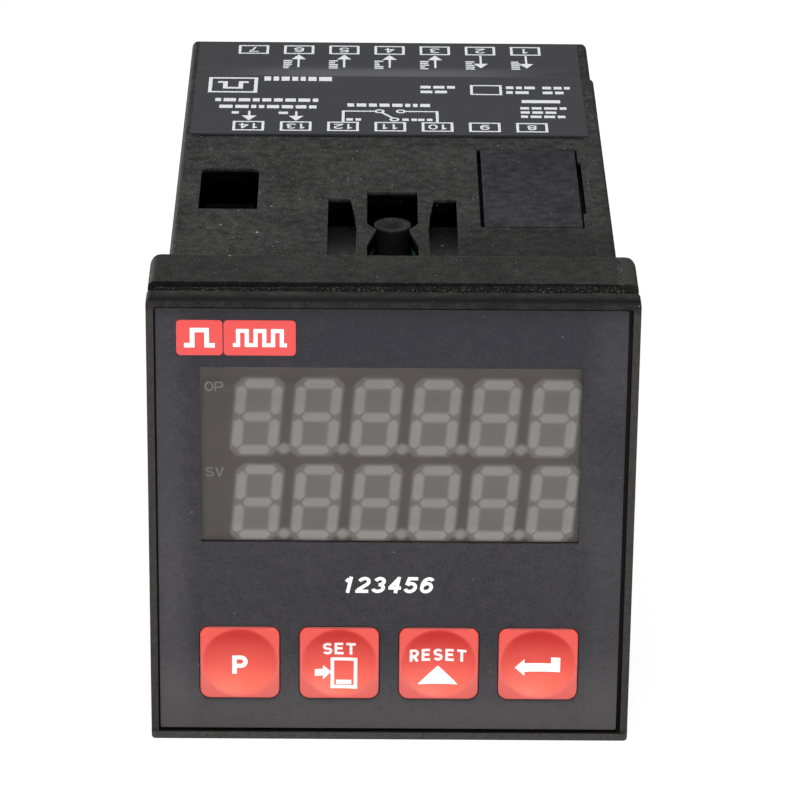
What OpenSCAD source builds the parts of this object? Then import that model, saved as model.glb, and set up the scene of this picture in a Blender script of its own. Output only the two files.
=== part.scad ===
// Panel counter with a square bezel: two rows of six digits, four sprung keys in front,
// a plug-in case, and two rows of screw terminals at the rear.
// Millimetres. X is to the right, Y runs from the front towards the rear, and Z is up.
// The origin is the centre of the collar's rear face, which seats on the panel.

/* [Bezel] */
// Width and height of the square bezel
bezel_w = 48; // [47.4:0.1:49]
// Radius of the front frame's corners, seen from the front
frame_r = 0.4; // [0.2:0.1:1]
// Depth of the front frame
frame_d = 2.4; // [2:0.1:3]
// Width of the frame's rim around the film
rim_w = 0.75; // [0.5:0.05:1]
// Depth of the film's face below the rim
film_recess = 0.45; // [0.2:0.05:0.7]
// Depth of the foam seal behind the frame
seal_d = 1.1; // [0.6:0.1:1.6]
// How far the foam seal stays inside the bezel's outline
seal_inset = 0.3; // [0.1:0.1:0.6]
// Width of the dark groove between the seal and the collar
groove_w = 1.3; // [0.6:0.1:1.8]
// Depth of that groove below the collar
groove_d = 0.8; // [0.4:0.1:1.1]
// Depth of the collar that seats on the panel
collar_d = 6.9; // [6:0.1:9]
// Radius of the collar's corners, seen from the front
collar_r = 0.8; // [0.4:0.1:1.4]
// Radius of the collar's two rear corners, seen from above
collar_rear_r = 1.3; // [0.6:0.1:1.5]

/* [Case] */
// How far the collar stands out past the body behind the panel
shoulder_w = 1.6; // [1.5:0.05:1.8]
// Radius of the body's long edges
body_r = 0.6; // [0.3:0.1:1]
// Thickness of the case walls
case_wall = 1.5; // [1.3:0.1:1.8]
// Length of the case behind the panel, up to the terminal block
case_len = 55.8; // [53:0.1:70]
// Length of the terminal block behind the case
block_len = 11.5; // [10:0.1:14]
// How much narrower the terminal block is than the case
block_step = 0.3; // [0.1:0.1:0.6]

/* [Film and window] */
// Thickness of the printed film
film_t = 0.3; // [0.2:0.05:0.4]
// Gap between the film and the rim
film_gap = 0.27; // [0.1:0.01:0.4]
// Sideways offset of the film in its frame
film_x = -0.12; // [-0.15:0.01:0.15]
// Width of the film on each side of the display window
window_side = 4.28; // [4.1:0.02:4.5]
// Height of the display window
window_h = 19; // [18.6:0.1:19.6]
// Height of the film above the display window
window_above = 6.18; // [5.9:0.02:6.4]
// Thickness of the window plate
window_t = 1.2; // [1:0.1:1.4]
// Width of the ledge around the window plate, behind the film
window_lip = 0.6; // [0.4:0.1:0.8]

/* [Displays] */
// Height of a digit
digit_h = 8.1; // [7.8:0.1:8.1]
// Room between two digits
digit_gap = 1.3; // [1.2:0.05:1.5]
// Room in the window beside a row of digits
row_side = 2.6; // [2.6:0.1:3.2]
// Lean of the digits, in degrees
digit_lean = 5; // [0:1:8]
// Width of a segment
segment_w = 1; // [0.8:0.05:1.1]
// Gap between the ends of two segments
segment_gap = 0.2; // [0.1:0.02:0.24]
// Diameter of a decimal point
point_d = 1.15; // [0.9:0.05:1.2]
// Distance between the two rows of digits
row_pitch = 9.25; // [9.2:0.05:9.4]
// Depth of a display module
display_d = 6.1; // [5.6:0.1:6.6]

/* [Keys] */
// Room between two keys
key_space = 2; // [1.8:0.02:2.3]
// Room in the film beside the row of keys
keys_side = 6.08; // [5.6:0.04:6.8]
// Height of the film below the keys
keys_below = 3.455; // [3.255:0.05:3.955]
// Radius of a key's corners
key_r = 1; // [0.8:0.1:1.6]
// Running gap around a key
key_gap = 0.08; // [0.08:0.01:0.2]
// How far a key stands proud of the film
key_proud = 0.15; // [0.05:0.05:0.3]
// Travel of a key
key_travel = 0.5; // [0.3:0.05:0.6]
// Narrowest part of a key's flat rim around its dish
dish_rim = 0.275; // [0.275:0.025:0.6]
// Depth of the dish in a key
dish_depth = 0.5; // [0.2:0.05:0.6]

/* [Terminals] */
// Terminals in each of the two rows
terminal_count = 7; // [6:1:7]
// Distance from terminal to terminal
terminal_pitch = 5.08; // [5:0.01:5.2]
// Depth of a terminal pocket
pocket_d = 6.5; // [5.8:0.1:7]
// Height of a terminal pocket
pocket_h = 9.4; // [8.8:0.1:9.8]
// Room around a terminal screw's head in its pocket
head_room = 0.14; // [0.1:0.02:0.3]
// Diameter of a terminal screw's shank
screw_d = 2.5; // [2:0.1:2.6]

/* [Openings in the case] */
// Width of the service port
port_w = 6.05; // [5:0.05:7]
// Length of the service port
port_len = 11.4; // [9:0.1:13]
// Width of the case wall between the access cover and the arm beside the locking stud
cover_web = 2.785; // [2.485:0.05:3.985]
// Length of the access cover
cover_len = 21.8; // [18:0.1:23]
// Diameter of the two locking studs
stud_d = 3.75; // [3:0.05:4]
// Distance of the locking studs behind the panel
stud_y = 12.5; // [11.5:0.1:13.5]

// Height of the clamp ratchets on the case's sides
ratchet_h = 6; // [4:0.5:8]
// Distance from ratchet tooth to ratchet tooth
ratchet_pitch = 1.5; // [1.2:0.1:2]

/* [Circuit boards] */
// Thickness of a circuit board
board_t = 1.6; // [1.4:0.1:1.8]
// Room between a long board and the case wall beside it
board_room = 5.9; // [5.7:0.1:6.3]
// Width of the mains transformer
transformer_w = 30; // [26:0.5:32]
// Length of the mains transformer
transformer_len = 22; // [18:0.5:22]
// Air between the mains transformer and the couplers above it
transformer_air = 2.7; // [1.7:0.1:6]
// Length of the relay
relay_len = 20; // [16:0.5:21]

/* [Hidden] */
$fn = 48;

// Colours, as the photograph shows them where it does
case_grey = "#3a3a3a";
film_grey = "#48484d";
window_grey = "#56544f";
cell_grey = "#706e69";
segment_grey = "#92908a";
key_red = "#f05f55";
print_white = "#faf0ee";
void_black = "#161616";

// Small named sizes
over = 0.5;             // overrun of a cut past a face
fit = 0.2;              // clearance of one moulding inside another
ease = 0.1;             // clearance of a board in its guides
thin_air = 0.05;        // gap behind the window and in a threaded hole

// Places along the depth, from the front to the rear
front_y = -(frame_d + seal_d + groove_w + collar_d);
film_y = front_y + film_recess;
plate_y = film_y + film_t;
frame_back_y = front_y + frame_d;
seal_back_y = frame_back_y + seal_d;
collar_front_y = -collar_d;
display_y = film_y + window_t + thin_air;
display_board_y = display_y + display_d;
ring_y = display_board_y + board_t;
case_end_y = case_len;
rear_y = case_len + block_len;

// Film, rim and the frame's neck
opening_w = bezel_w - 2 * rim_w;
film_w = opening_w - 2 * film_gap;
window_w = film_w - 2 * window_side;
window_z = film_w / 2 - window_above - window_h / 2;
body_w = bezel_w - 2 * shoulder_w;
film_r = 0.2;
seam_back = 0.3;
seam_w = 0.15;
seam_depth = 0.12;
neck_wall = 1.2;
neck_w = body_w - neck_wall;
neck_r = 1;
neck_end_y = ring_y - ease - fit;
neck_slot_w = 8.8;

// Badge field printed on the film
badge_inset = 2.03;
badge_below = 1.23;
badge_square = 4.5;
badge_w = 11.6;
badge_h = 3.7;
badge_x = badge_inset - film_w / 2;
badge_z = film_w / 2 - badge_below - badge_h / 2;
badge_r = 0.4;
badge_gap = 0.1;
print_t = 0.05;

// Display rows
display_shift = 1.34;
display_x = film_x + display_shift;
rows_drop = 0.82;
display_lift = 0.23;
rows_z = window_z - rows_drop;
digit_count = 6;
digit_pitch = (window_w - row_side) / digit_count;
digit_w = digit_pitch - digit_gap;
display_margin = 0.2;
display_w = digit_count * digit_pitch + 2 * display_margin;
row_gap = 0.1;
display_h = row_pitch - row_gap;
pad_t = 0.06;
pad_margin = 0.29;
pad_cut = 0.9;
segment_depth = 1;
point_x_share = 0.505;
guide_w = 2.5;
guide_gap = 0.2;
well_w = 1.9;
well_h = 2.2;
led_w = 1.6;
led_h = 0.8;
led_t = 0.7;
guide_skin = 0.6;

// Keys, switches and plungers
key_count = 4;
key_pitch = (film_w - keys_side) / key_count;
key_w = key_pitch - key_space;
key_z = keys_below + (key_w - film_w) / 2;
key_xs = [for (i = [0:key_count - 1]) film_x + (i - (key_count - 1) / 2) * key_pitch];
dish_d = key_w - 2 * dish_rim;
key_y = film_y - key_proud;
flange_out = 0.45;
flange_w = key_w + 2 * flange_out;
flange_t = 0.8;
flange_y = frame_back_y + ease;
flange_back_y = flange_y + flange_t;
legend_depth = 0.3;
switch_w = 6;
switch_h = 3.5;
switch_y = display_board_y - switch_h;
plunger_d = 3.4;
plunger_in = 0.9;
plunger_play = 0.08;
switch_bore = plunger_in + key_travel + thin_air + fit;
switch_foot_w = 0.8;
switch_foot_out = 0.6;
switch_foot_t = 0.3;

// Inner chassis
ring_w = body_w - 2 * case_wall - 2 * fit;
ring_bar = 3.2;
ring_d = 4;
ring_back_y = ring_y + ring_d;
tongue_w = 4.2;
tongue_t = 1.4;
tongue_over = 2.5;
stud_below = 0.1;
stud_dish = 0.25;
stud_dish_share = 0.8;
arm_h = 8;
arm_t = 1;
arm_inset = 1.5;
arm_x = ring_w / 2 - arm_inset;
arm_reach = 4.7;
barb_d = 1.2;
barb_out = 0.9;

// Case
cavity_w = body_w - 2 * case_wall;
pocket_w = neck_w + 2 * fit;
spigot_w = bezel_w - 2 * groove_d;
rib_t = 1;
rib_h = 1;
rib_back = 0.8;
rib_y = ring_back_y + rib_back;
hook_zs = [-10, 10];
hook_w = 7;
hook_d = 1;
hook_out = 1.2;
hook_from_end = 1.4;
body_top = body_w / 2;
ratchet_y = 8;
ratchet_count = 24;
ratchet_depth = 0.5;

// Locking windows, each with two bending arms beside the stud
window_half = 2.6;
window_reach = 8.8;
window_back_y = stud_y + window_reach;
window_front_y = 1.6;
tooth_half = 1.7;
tooth_reach = 1.9;
tooth_y = stud_y - tooth_reach;
tooth_land = 0.4;
tooth_taper = 4;
tooth_front_y = tooth_y - tooth_taper;
slot_outer = 6.6;
slot_reach = 6.7;
slot_back_y = stud_y + slot_reach;
slot_front_y = 2.4;
slot_back_half = 4.3;
slot_mid_half = 3.65;
slot_front_half = 3.8;
slot_ramp_reach = 3.4;
slot_ramp_y = stud_y + slot_ramp_reach;
slot_ramp_depth = 0.15;

// Service port and access cover
port_side = 2.475;
port_x = port_side + (port_w - body_w) / 2;
port_y = 22;
port_r = 1.1;
cover_side = 3.045;
cover_w = body_w / 2 - cover_side - cover_web - slot_outer;
cover_x = slot_outer + cover_web + cover_w / 2;
cover_y = 22.9;
cover_t = 1;
cover_sink = 0.03;
cover_gap_left = 0.43;
cover_gap_right = 0.22;
cover_gap_front = 0.35;
cover_gap_rear = 0.1;
cover_ledge = 1.2;
notch_w = 0.3;
notch_len = 14.8;

// Terminal block
block_w = body_w - block_step;
block_x = -block_step / 2;
block_r = 0.6;
spigot_len = 3;
spigot_wall = 1.3;
block_floor = 1.3;
pocket_floor_y = rear_y - pocket_d;
barrier_t = 1.2;
pocket_gap_w = terminal_pitch - barrier_t;
screw_head_d = pocket_gap_w - 2 * head_room;
pocket_outer_wall = 1.7;
pocket_z = body_top - pocket_outer_wall - pocket_h / 2;
terminal_xs = [for (i = [0:terminal_count - 1]) (i - (terminal_count - 1) / 2) * terminal_pitch + block_x];
tail_plate_w = pocket_gap_w - 2 * head_room;
tail_plate_h = 7.4;
tail_t = 0.8;
tail_w = 1.2;
tail_overlap = 2;
screw_drop = 1.9;
screw_z = pocket_z - screw_drop;
head_t = 1.6;
shank_len = 4.2;
cross_w = 0.6;
cross_depth = 0.8;
cross_share = 0.35;
clamp_h = 4.8;
clamp_t = 0.9;
clamp_gap = 0.6;
floor_hole_d = screw_d + 2 * fit;

// Rating label and its plain print
label_x = -0.28;
label_side = 1.15;
label_w = body_w - 2 * label_side;
label_t = 0.25;
label_front_y = 37.6;
label_back_gap = 0.1;
box_w = 3.4;
box_h = 2.8;
line_w = 0.36;
rear_boxes_inset = 3.05;
rear_boxes_y = rear_y - rear_boxes_inset;
front_boxes_inset = 2.35;
front_boxes_y = label_front_y + front_boxes_inset;
arrow_len = 4.4;
arrow_head_w = 1.7;
arrow_head_len = 1.6;
ring_mark_d = 1.1;
contact_half = 1.15;
contact_up = 3.3;
contact_root_x = 0.45;
contact_root_y = 0.8;
contact_tip_x = -0.85;
contact_tip_y = 2.9;
short_arrow_len = 3;

// Circuit boards and what they carry
long_board_w = cavity_w - 2 * fit;
long_board_half = long_board_w / 2;
board_z = cavity_w / 2 - board_room;
long_board_y = ring_back_y + 2 * fit;
long_board_end_y = case_end_y - spigot_len - 2 * fit;
display_board_w = neck_w - 2 * neck_wall - fit;
display_board_r = 1.5;
header_w = 20;
header_h = 2.5;
header_under = 2.6;
header_end_y = long_board_y + header_under;
header_pins = 8;
header_groove = 0.6;
socket_w = 5;
socket_len = 7.6;
socket_h = 2.5;
socket_wall = 0.6;
jumper_w = 5;
jumper_len = 10.2;
jumper_h = 2.5;
jumper_pin = 0.6;
jumper_pin_up = 1.2;
jumper_step = 2.54;
core_stack_share = 0.55;
core_y = 39.4;
coil_w_share = 0.72;
coil_h_share = 0.62;
relay_w = 10.2;
relay_h = 15;
relay_side = 2;
relay_x = long_board_half - relay_side - relay_w / 2;
relay_y = 15.2;
part_r = 0.5;
capacitor_d = 8;
capacitor_h = 11.5;
capacitor_x = 0;
capacitor_y = 10;
sleeve_groove = 0.3;
rectifier_w = 8.6;
rectifier_len = 6.4;
rectifier_h = 3.4;
rectifier_x = -0.5;
rectifier_y = 21;
varistor_d = 9;
varistor_t = 4;
varistor_side = 2.2;
varistor_x = varistor_side + varistor_d / 2 - long_board_half;
varistor_y = 9;
resistor_d = 4;
resistor_len = 9;
resistor_x = varistor_side + resistor_len / 2 - long_board_half;
resistor_y = 20;
chip_w = 10;
chip_t = 1.6;
chip_y = 25;
lead_out = 1;
lead_w = 0.4;
lead_t = 0.3;
lead_pitch = 1.25;
crystal_w = 4.5;
crystal_len = 10.6;
crystal_h = 3.4;
crystal_side = 2.4;
crystal_x = crystal_side + crystal_w / 2 - long_board_half;
driver_w = 7.5;
driver_len = 12.6;
driver_t = 2.3;
driver_side = 4.95;
driver_x = long_board_half - driver_side - driver_w / 2;
driver_y = 12;
memory_w = 4;
memory_len = 5;
memory_side = 6.7;
memory_x = memory_side + memory_w / 2 - long_board_half;
memory_y = 12;
opto_gap = 0.48;
opto_w = terminal_pitch - opto_gap;
opto_len = 6.4;
opto_h = 3.3;
opto_y = 44.5;
opto_count = 4;

// A flat outline in X and Z, extruded from y0 to y1
module along_y(y0, y1) translate([0, y1, 0]) rotate([90, 0, 0]) linear_extrude(height = y1 - y0) children();
// A flat outline in X and Y, extruded from z0 to z1
module along_z(z0, z1) translate([0, 0, z0]) linear_extrude(height = z1 - z0) children();
// A flat outline in Y and Z, extruded from x0 to x1
module along_x(x0, x1) translate([x0, 0, 0]) rotate([90, 0, 90]) linear_extrude(height = x1 - x0) children();
// A rectangle with round corners, centred, made of true arcs
module rounded(w, h, r) {
    square([w - 2 * r, h], center = true);
    square([w, h - 2 * r], center = true);
    for (sx = [-1, 1], sy = [-1, 1]) translate([sx * (w / 2 - r), sy * (h / 2 - r)]) circle(r);
}
// A rectangle in X and Y whose two rear corners are round
module round_rear(w, y0, y1, r) {
    translate([-w / 2, y0]) square([w, y1 - y0 - r]);
    translate([-w / 2 + r, y0]) square([w - 2 * r, y1 - y0]);
    for (s = [-1, 1]) translate([s * (w / 2 - r), y1 - r]) circle(r);
}
// A box given by its two corners
module box(a, b) translate(a) cube(b - a);
// The same thing at the top and turned over at the bottom
module top_and_bottom() for (turn = [0, 180]) rotate([0, turn, 0]) children();
module at(x, z) translate([x, 0, z]) children();
// The same thing at every terminal of the upper and the lower row
module both_rows() for (s = [-1, 1], x = terminal_xs) translate([x, 0, 0]) scale([1, 1, s]) children();

// Digit outlines: a bar with pointed ends, flat or upright
function bar_points(half, t) = [[-half, 0], [t / 2 - half, t / 2], [half - t / 2, t / 2],
    [half, 0], [half - t / 2, -t / 2], [t / 2 - half, -t / 2]];
function flat_bar(x, z, half, t) = [for (p = bar_points(half, t)) [x + p[0], z + p[1]]];
function upright_bar(x, z, half, t) = [for (p = bar_points(half, t)) [x + p[1], z + p[0]]];
function lean(points) = [for (p = points) [p[0] + p[1] * tan(digit_lean), p[1]]];
segment_x = (digit_w - segment_w) / 2;
segment_z = (digit_h - segment_w) / 2;
flat_half = segment_x - segment_gap;
upright_half = segment_z / 2 - segment_gap;
pad_x = digit_w / 2 + pad_margin;
pad_z = digit_h / 2 + pad_margin;
digit_bars = concat(
    [for (z = [-segment_z, 0, segment_z]) flat_bar(0, z, flat_half, segment_w)],
    [for (x = [-segment_x, segment_x], z = [-segment_z / 2, segment_z / 2])
        upright_bar(x, z, upright_half, segment_w)]);
pad_outline = [[-pad_x, pad_cut - pad_z], [-pad_x, pad_z - pad_cut], [pad_cut - pad_x, pad_z],
    [pad_x - pad_cut, pad_z], [pad_x, pad_z - pad_cut], [pad_x, pad_cut - pad_z],
    [pad_x - pad_cut, -pad_z], [pad_cut - pad_x, -pad_z]];
digit_xs = [for (i = [0:digit_count - 1]) (i - (digit_count - 1) / 2) * digit_pitch];
point_z = -segment_z + (segment_w - point_d) / 2;
point_x = point_x_share * digit_pitch + point_z * tan(digit_lean);

module digit_outlines() {
    for (x = digit_xs, bar = digit_bars) translate([x, 0]) polygon(lean(bar));
    for (i = [0:digit_count - 2]) translate([digit_xs[i] + point_x, point_z]) circle(point_d / 2);
}
module display_row(z) color(cell_grey) at(display_x, z) difference() {
    union() {
        along_y(display_y + pad_t, display_board_y) translate([0, display_lift])
            square([display_w, display_h], center = true);
        along_y(display_y, display_y + pad_t + thin_air) {
            for (x = digit_xs) translate([x, 0]) polygon(lean(pad_outline));
            for (i = [0:digit_count - 2]) translate([digit_xs[i] + point_x, point_z])
                circle(point_d / 2 + pad_margin / 2);
        }
    }
    along_y(display_y - over, display_y + segment_depth) digit_outlines();
}
module segment_row(z) color(segment_grey) at(display_x, z)
    along_y(display_y, display_y + segment_depth) digit_outlines();

// Letters of a key's legend, drawn from the lower left corner
module letter_e(w, h, t) {
    square([t, h]);
    square([w, t]);
    translate([0, (h - t) / 2]) square([w - t / 2, t]);
    translate([0, h - t]) square([w, t]);
}
module letter_t(w, h, t) {
    translate([(w - t) / 2, 0]) square([t, h]);
    translate([0, h - t]) square([w, t]);
}
module letter_p(w, h, t) {
    r = (h + t) / 4;
    square([t, h]);
    translate([0, h - 2 * r]) difference() {
        union() {
            square([w - r, 2 * r]);
            translate([w - r, r]) circle(r);
        }
        translate([t, t]) square([w - r - t, 2 * (r - t)]);
        translate([w - r, r]) circle(r - t);
    }
}
module letter_r(w, h, t) {
    r = (h + t) / 4;
    letter_p(w - t / 3, h, t);
    polygon([[w / 2 - t, h - 2 * r + t / 2], [w / 2 + t / 3, h - 2 * r + t / 2], [w, 0], [w - 1.2 * t, 0]]);
}
module half_ring(r, t, side) intersection() {
    difference() {
        circle(r);
        circle(r - t);
    }
    translate([side > 0 ? 0 : -2 * r, -2 * r]) square([2 * r, 4 * r]);
}
module letter_s(w, h, t) {
    r = (h + t) / 4;
    translate([r, h - r]) half_ring(r, t, -1);
    translate([w - r, r]) half_ring(r, t, 1);
    translate([r, h - t]) square([w - r - t / 3, t]);
    translate([r, (h - t) / 2]) square([w - 2 * r, t]);
    translate([t / 3, 0]) square([w - r - t / 3, t]);
}

// Legends, in the key's own frame with its centre at zero
p_h = 2.1;
p_w = 1.6;
p_t = 0.5;
word_h = 1.38;
word_t = 0.27;
letter_w = 0.98;
letter_step = 1.16;
word_top = 2.25;
frame_mark_w = 2.6;
frame_mark_h = 3.5;
frame_mark_line = 0.33;
frame_mark_x = 0.5;
frame_mark_z = -1.17;
frame_bar_w = 1.6;
frame_bar_h = 0.5;
frame_bar_up = 0.65;
set_arrow_x = -2.45;
set_arrow_z = -1.1;
set_arrow_len = 1.6;
set_arrow_shaft = 0.95;
set_arrow_head = 1.6;
triangle_w = 4.05;
triangle_h = 2.2;
triangle_z = -2.35;
enter_tip_x = -2.33;
enter_z = -0.35;
enter_len = 4.65;
enter_head_len = 1;
enter_head_w = 1.95;
enter_shaft = 1;
enter_post_w = 1.05;
enter_post_up = 0.72;

module arrow_right(length, shaft, head_w, head_len) polygon([[0, -shaft / 2], [length - head_len, -shaft / 2],
    [length - head_len, -head_w / 2], [length, 0], [length - head_len, head_w / 2],
    [length - head_len, shaft / 2], [0, shaft / 2]]);
module legend_p_outline() translate([-p_w / 2, -p_h / 2 - fit]) letter_p(p_w, p_h, p_t);
module legend_set_outline() {
    translate([-1.45 * letter_step, word_top - word_h]) {
        letter_s(letter_w, word_h, word_t);
        translate([letter_step, 0]) letter_e(letter_w, word_h, word_t);
        translate([2 * letter_step, 0]) letter_t(letter_w, word_h, word_t);
    }
    translate([frame_mark_x, frame_mark_z]) difference() {
        square([frame_mark_w, frame_mark_h], center = true);
        square([frame_mark_w - 2 * frame_mark_line, frame_mark_h - 2 * frame_mark_line], center = true);
    }
    translate([frame_mark_x, frame_mark_z - frame_mark_h / 2 + frame_bar_up + frame_bar_h / 2])
        square([frame_bar_w, frame_bar_h], center = true);
    translate([set_arrow_x, set_arrow_z])
        arrow_right(set_arrow_len, set_arrow_shaft, set_arrow_head, set_arrow_head / 2);
}
module legend_reset_outline() {
    translate([-2.45 * letter_step, word_top - word_h - word_t * 2]) {
        letter_r(letter_w, word_h, word_t);
        translate([letter_step, 0]) letter_e(letter_w, word_h, word_t);
        translate([2 * letter_step, 0]) letter_s(letter_w, word_h, word_t);
        translate([3 * letter_step, 0]) letter_e(letter_w, word_h, word_t);
        translate([4 * letter_step, 0]) letter_t(letter_w, word_h, word_t);
    }
    polygon([[-triangle_w / 2, triangle_z], [triangle_w / 2, triangle_z], [0, triangle_z + triangle_h]]);
}
module legend_enter_outline() translate([enter_tip_x, enter_z]) {
    translate([enter_len, 0]) mirror([1, 0])
        arrow_right(enter_len, enter_shaft, enter_head_w, enter_head_len);
    translate([enter_len - enter_post_w, 0]) square([enter_post_w, enter_shaft / 2 + enter_post_up]);
}

// Key cap with a retaining flange, its dish, and the pocket of its white legend
dish_radius = (pow(dish_d / 2, 2) + pow(dish_depth, 2)) / (2 * dish_depth);
module dish() translate([0, key_y + dish_depth - dish_radius, 0]) sphere(dish_radius, $fn = 96);
module key_cap(i) color(key_red) at(key_xs[i], key_z) difference() {
    union() {
        along_y(key_y, flange_y) rounded(key_w, key_w, key_r);
        along_y(flange_y, flange_back_y) rounded(flange_w, flange_w, key_r);
    }
    dish();
    along_y(key_y - over, key_y + dish_depth + legend_depth) children();
}
module key_legend(i) color(print_white) at(key_xs[i], key_z) difference() {
    along_y(key_y, key_y + dish_depth + legend_depth) children();
    dish();
}
module key_p() key_cap(0) legend_p_outline();
module key_set() key_cap(1) legend_set_outline();
module key_reset() key_cap(2) legend_reset_outline();
module key_enter() key_cap(3) legend_enter_outline();
module legend_p() key_legend(0) legend_p_outline();
module legend_set() key_legend(1) legend_set_outline();
module legend_reset() key_legend(2) legend_reset_outline();
module legend_enter() key_legend(3) legend_enter_outline();

// Push switch under each key: its plunger moves with the key
module plunger(i) color("ivory") at(key_xs[i], key_z)
    along_y(flange_back_y, switch_y + plunger_in) circle(plunger_d / 2);
module switch_body(i) color(void_black) at(key_xs[i], key_z) {
    difference() {
        along_y(switch_y, display_board_y) rounded(switch_w, switch_w, part_r);
        along_y(switch_y - over, switch_y + switch_bore) circle(plunger_d / 2 + plunger_play);
    }
    for (sx = [-1, 1], sz = [-1, 1]) translate([sx * switch_w / 2, display_board_y - switch_foot_t / 2,
        sz * switch_w / 4]) cube([2 * switch_foot_out, switch_foot_t, switch_foot_w], center = true);
}
module plunger_p() plunger(0);
module plunger_set() plunger(1);
module plunger_reset() plunger(2);
module plunger_enter() plunger(3);
module switch_p() switch_body(0);
module switch_set() switch_body(1);
module switch_reset() switch_body(2);
module switch_enter() switch_body(3);

// Front frame: rim with a fine seam around it, recess for the film, plate with the window and key holes,
// and the neck behind
module frame_window() translate([film_x, window_z])
    square([window_w + 2 * (window_lip + ease), window_h + 2 * (window_lip + ease)], center = true);
module key_holes() for (x = key_xs) translate([x, key_z])
    rounded(key_w + 2 * key_gap, key_w + 2 * key_gap, key_r + key_gap);
module front_frame() color(case_grey) difference() {
    union() {
        along_y(front_y, frame_back_y) rounded(bezel_w, bezel_w, frame_r);
        along_y(frame_back_y - thin_air, neck_end_y) rounded(neck_w, neck_w, neck_r);
    }
    along_y(front_y + seam_back, front_y + seam_back + seam_w) difference() {
        square(bezel_w + over, center = true);
        rounded(bezel_w - 2 * seam_depth, bezel_w - 2 * seam_depth, frame_r);
    }
    along_y(front_y - over, plate_y) rounded(opening_w, opening_w, film_r);
    along_y(frame_back_y, neck_end_y + over)
        rounded(neck_w - 2 * neck_wall, neck_w - 2 * neck_wall, neck_r - fit);
    along_y(plate_y - over, frame_back_y + over) {
        frame_window();
        key_holes();
    }
    for (s = [-1, 1]) translate([s * (neck_w - neck_wall) / 2, ring_y - arm_reach + barb_d / 2, 0])
        cube([neck_wall + over, barb_d + 2 * fit, neck_slot_w], center = true);
}
module front_seal() color("#333333") along_y(frame_back_y, seal_back_y) difference() {
    rounded(bezel_w - 2 * seal_inset, bezel_w - 2 * seal_inset, collar_r);
    rounded(pocket_w, pocket_w, neck_r);
}
module front_film() color(film_grey) along_y(film_y, plate_y) difference() {
    translate([film_x, 0]) rounded(film_w, film_w, film_r);
    translate([film_x, window_z]) square([window_w, window_h], center = true);
    key_holes();
}
// Plain two-part colour field at the film's upper left
module film_badge() color(key_red) along_y(film_y - print_t, film_y) translate([film_x + badge_x, badge_z]) {
    translate([badge_square / 2, 0]) rounded(badge_square, badge_h, badge_r);
    translate([(badge_square + badge_gap + badge_w) / 2, 0])
        rounded(badge_w - badge_square - badge_gap, badge_h, badge_r);
}
module display_window() color(window_grey) translate([film_x, 0, window_z]) {
    along_y(film_y, film_y + window_t) square([window_w, window_h], center = true);
    along_y(plate_y, film_y + window_t)
        square([window_w + 2 * window_lip, window_h + 2 * window_lip], center = true);
}
module upper_display() display_row(rows_z + row_pitch / 2);
module lower_display() display_row(rows_z - row_pitch / 2);
module upper_segments() segment_row(rows_z + row_pitch / 2);
module lower_segments() segment_row(rows_z - row_pitch / 2);

// Light guide left of the digits, with a well behind its face for each indicator lamp
guide_x = display_x - display_w / 2 - guide_gap - guide_w / 2;
well_zs = [rows_z + row_pitch / 2 + digit_h / 3, rows_z - row_pitch / 2 + digit_h / 3];
module light_guide() color(cell_grey) difference() {
    along_y(display_y + pad_t, display_board_y) translate([guide_x, rows_z + display_lift])
        square([guide_w, 2 * row_pitch - row_gap], center = true);
    along_y(display_y + pad_t + guide_skin, display_board_y + over) for (z = well_zs)
        translate([guide_x, z]) square([well_w, well_h], center = true);
}
module indicator_leds() color("gold") for (z = well_zs) along_y(display_board_y - led_t, display_board_y)
    translate([guide_x, z]) square([led_h, led_w], center = true);

// Board behind the displays, notched for the chassis arms
module display_board() color("darkgreen") along_y(display_board_y, ring_y) difference() {
    rounded(display_board_w, display_board_w, display_board_r);
    for (s = [-1, 1]) translate([s * (display_board_w / 2), 0])
        square([2 * (display_board_w / 2 - arm_x + fit), arm_h + 2 * fit], center = true);
}

// Inner chassis: a ring behind the display board, two barbed arms that hold the front frame,
// and a tongue at the top and the bottom with the stud that locks in the case
module chassis() color(void_black) {
    difference() {
        along_y(ring_y, ring_back_y) rounded(ring_w, ring_w, neck_r);
        along_y(ring_y - over, ring_back_y + over)
            square([ring_w - 2 * ring_bar, ring_w - 2 * ring_bar], center = true);
    }
    for (s = [-1, 1]) scale([s, 1, 1]) {
        box([arm_x, ring_y - arm_reach, -arm_h / 2], [arm_x + arm_t, ring_y + thin_air, arm_h / 2]);
        along_z(-arm_h / 2, arm_h / 2) polygon([[arm_x + arm_t, ring_y - arm_reach],
            [arm_x + arm_t + barb_out, ring_y - arm_reach + barb_d],
            [arm_x + arm_t, ring_y - arm_reach + barb_d]]);
    }
    top_and_bottom() difference() {
        union() {
            along_z(ring_w / 2 - ring_bar, ring_w / 2 - ring_bar + tongue_t)
                translate([-tongue_w / 2, ring_back_y - thin_air])
                square([tongue_w, stud_y + tongue_over - ring_back_y]);
            translate([0, stud_y, ring_w / 2 - ring_bar])
                cylinder(d = stud_d, h = body_top - stud_below - ring_w / 2 + ring_bar);
        }
        translate([0, stud_y, body_top - stud_below - stud_dish + stud_dish_r]) sphere(stud_dish_r);
    }
}
stud_dish_r = (pow(stud_d * stud_dish_share / 2, 2) + pow(stud_dish, 2)) / (2 * stud_dish);

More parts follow.
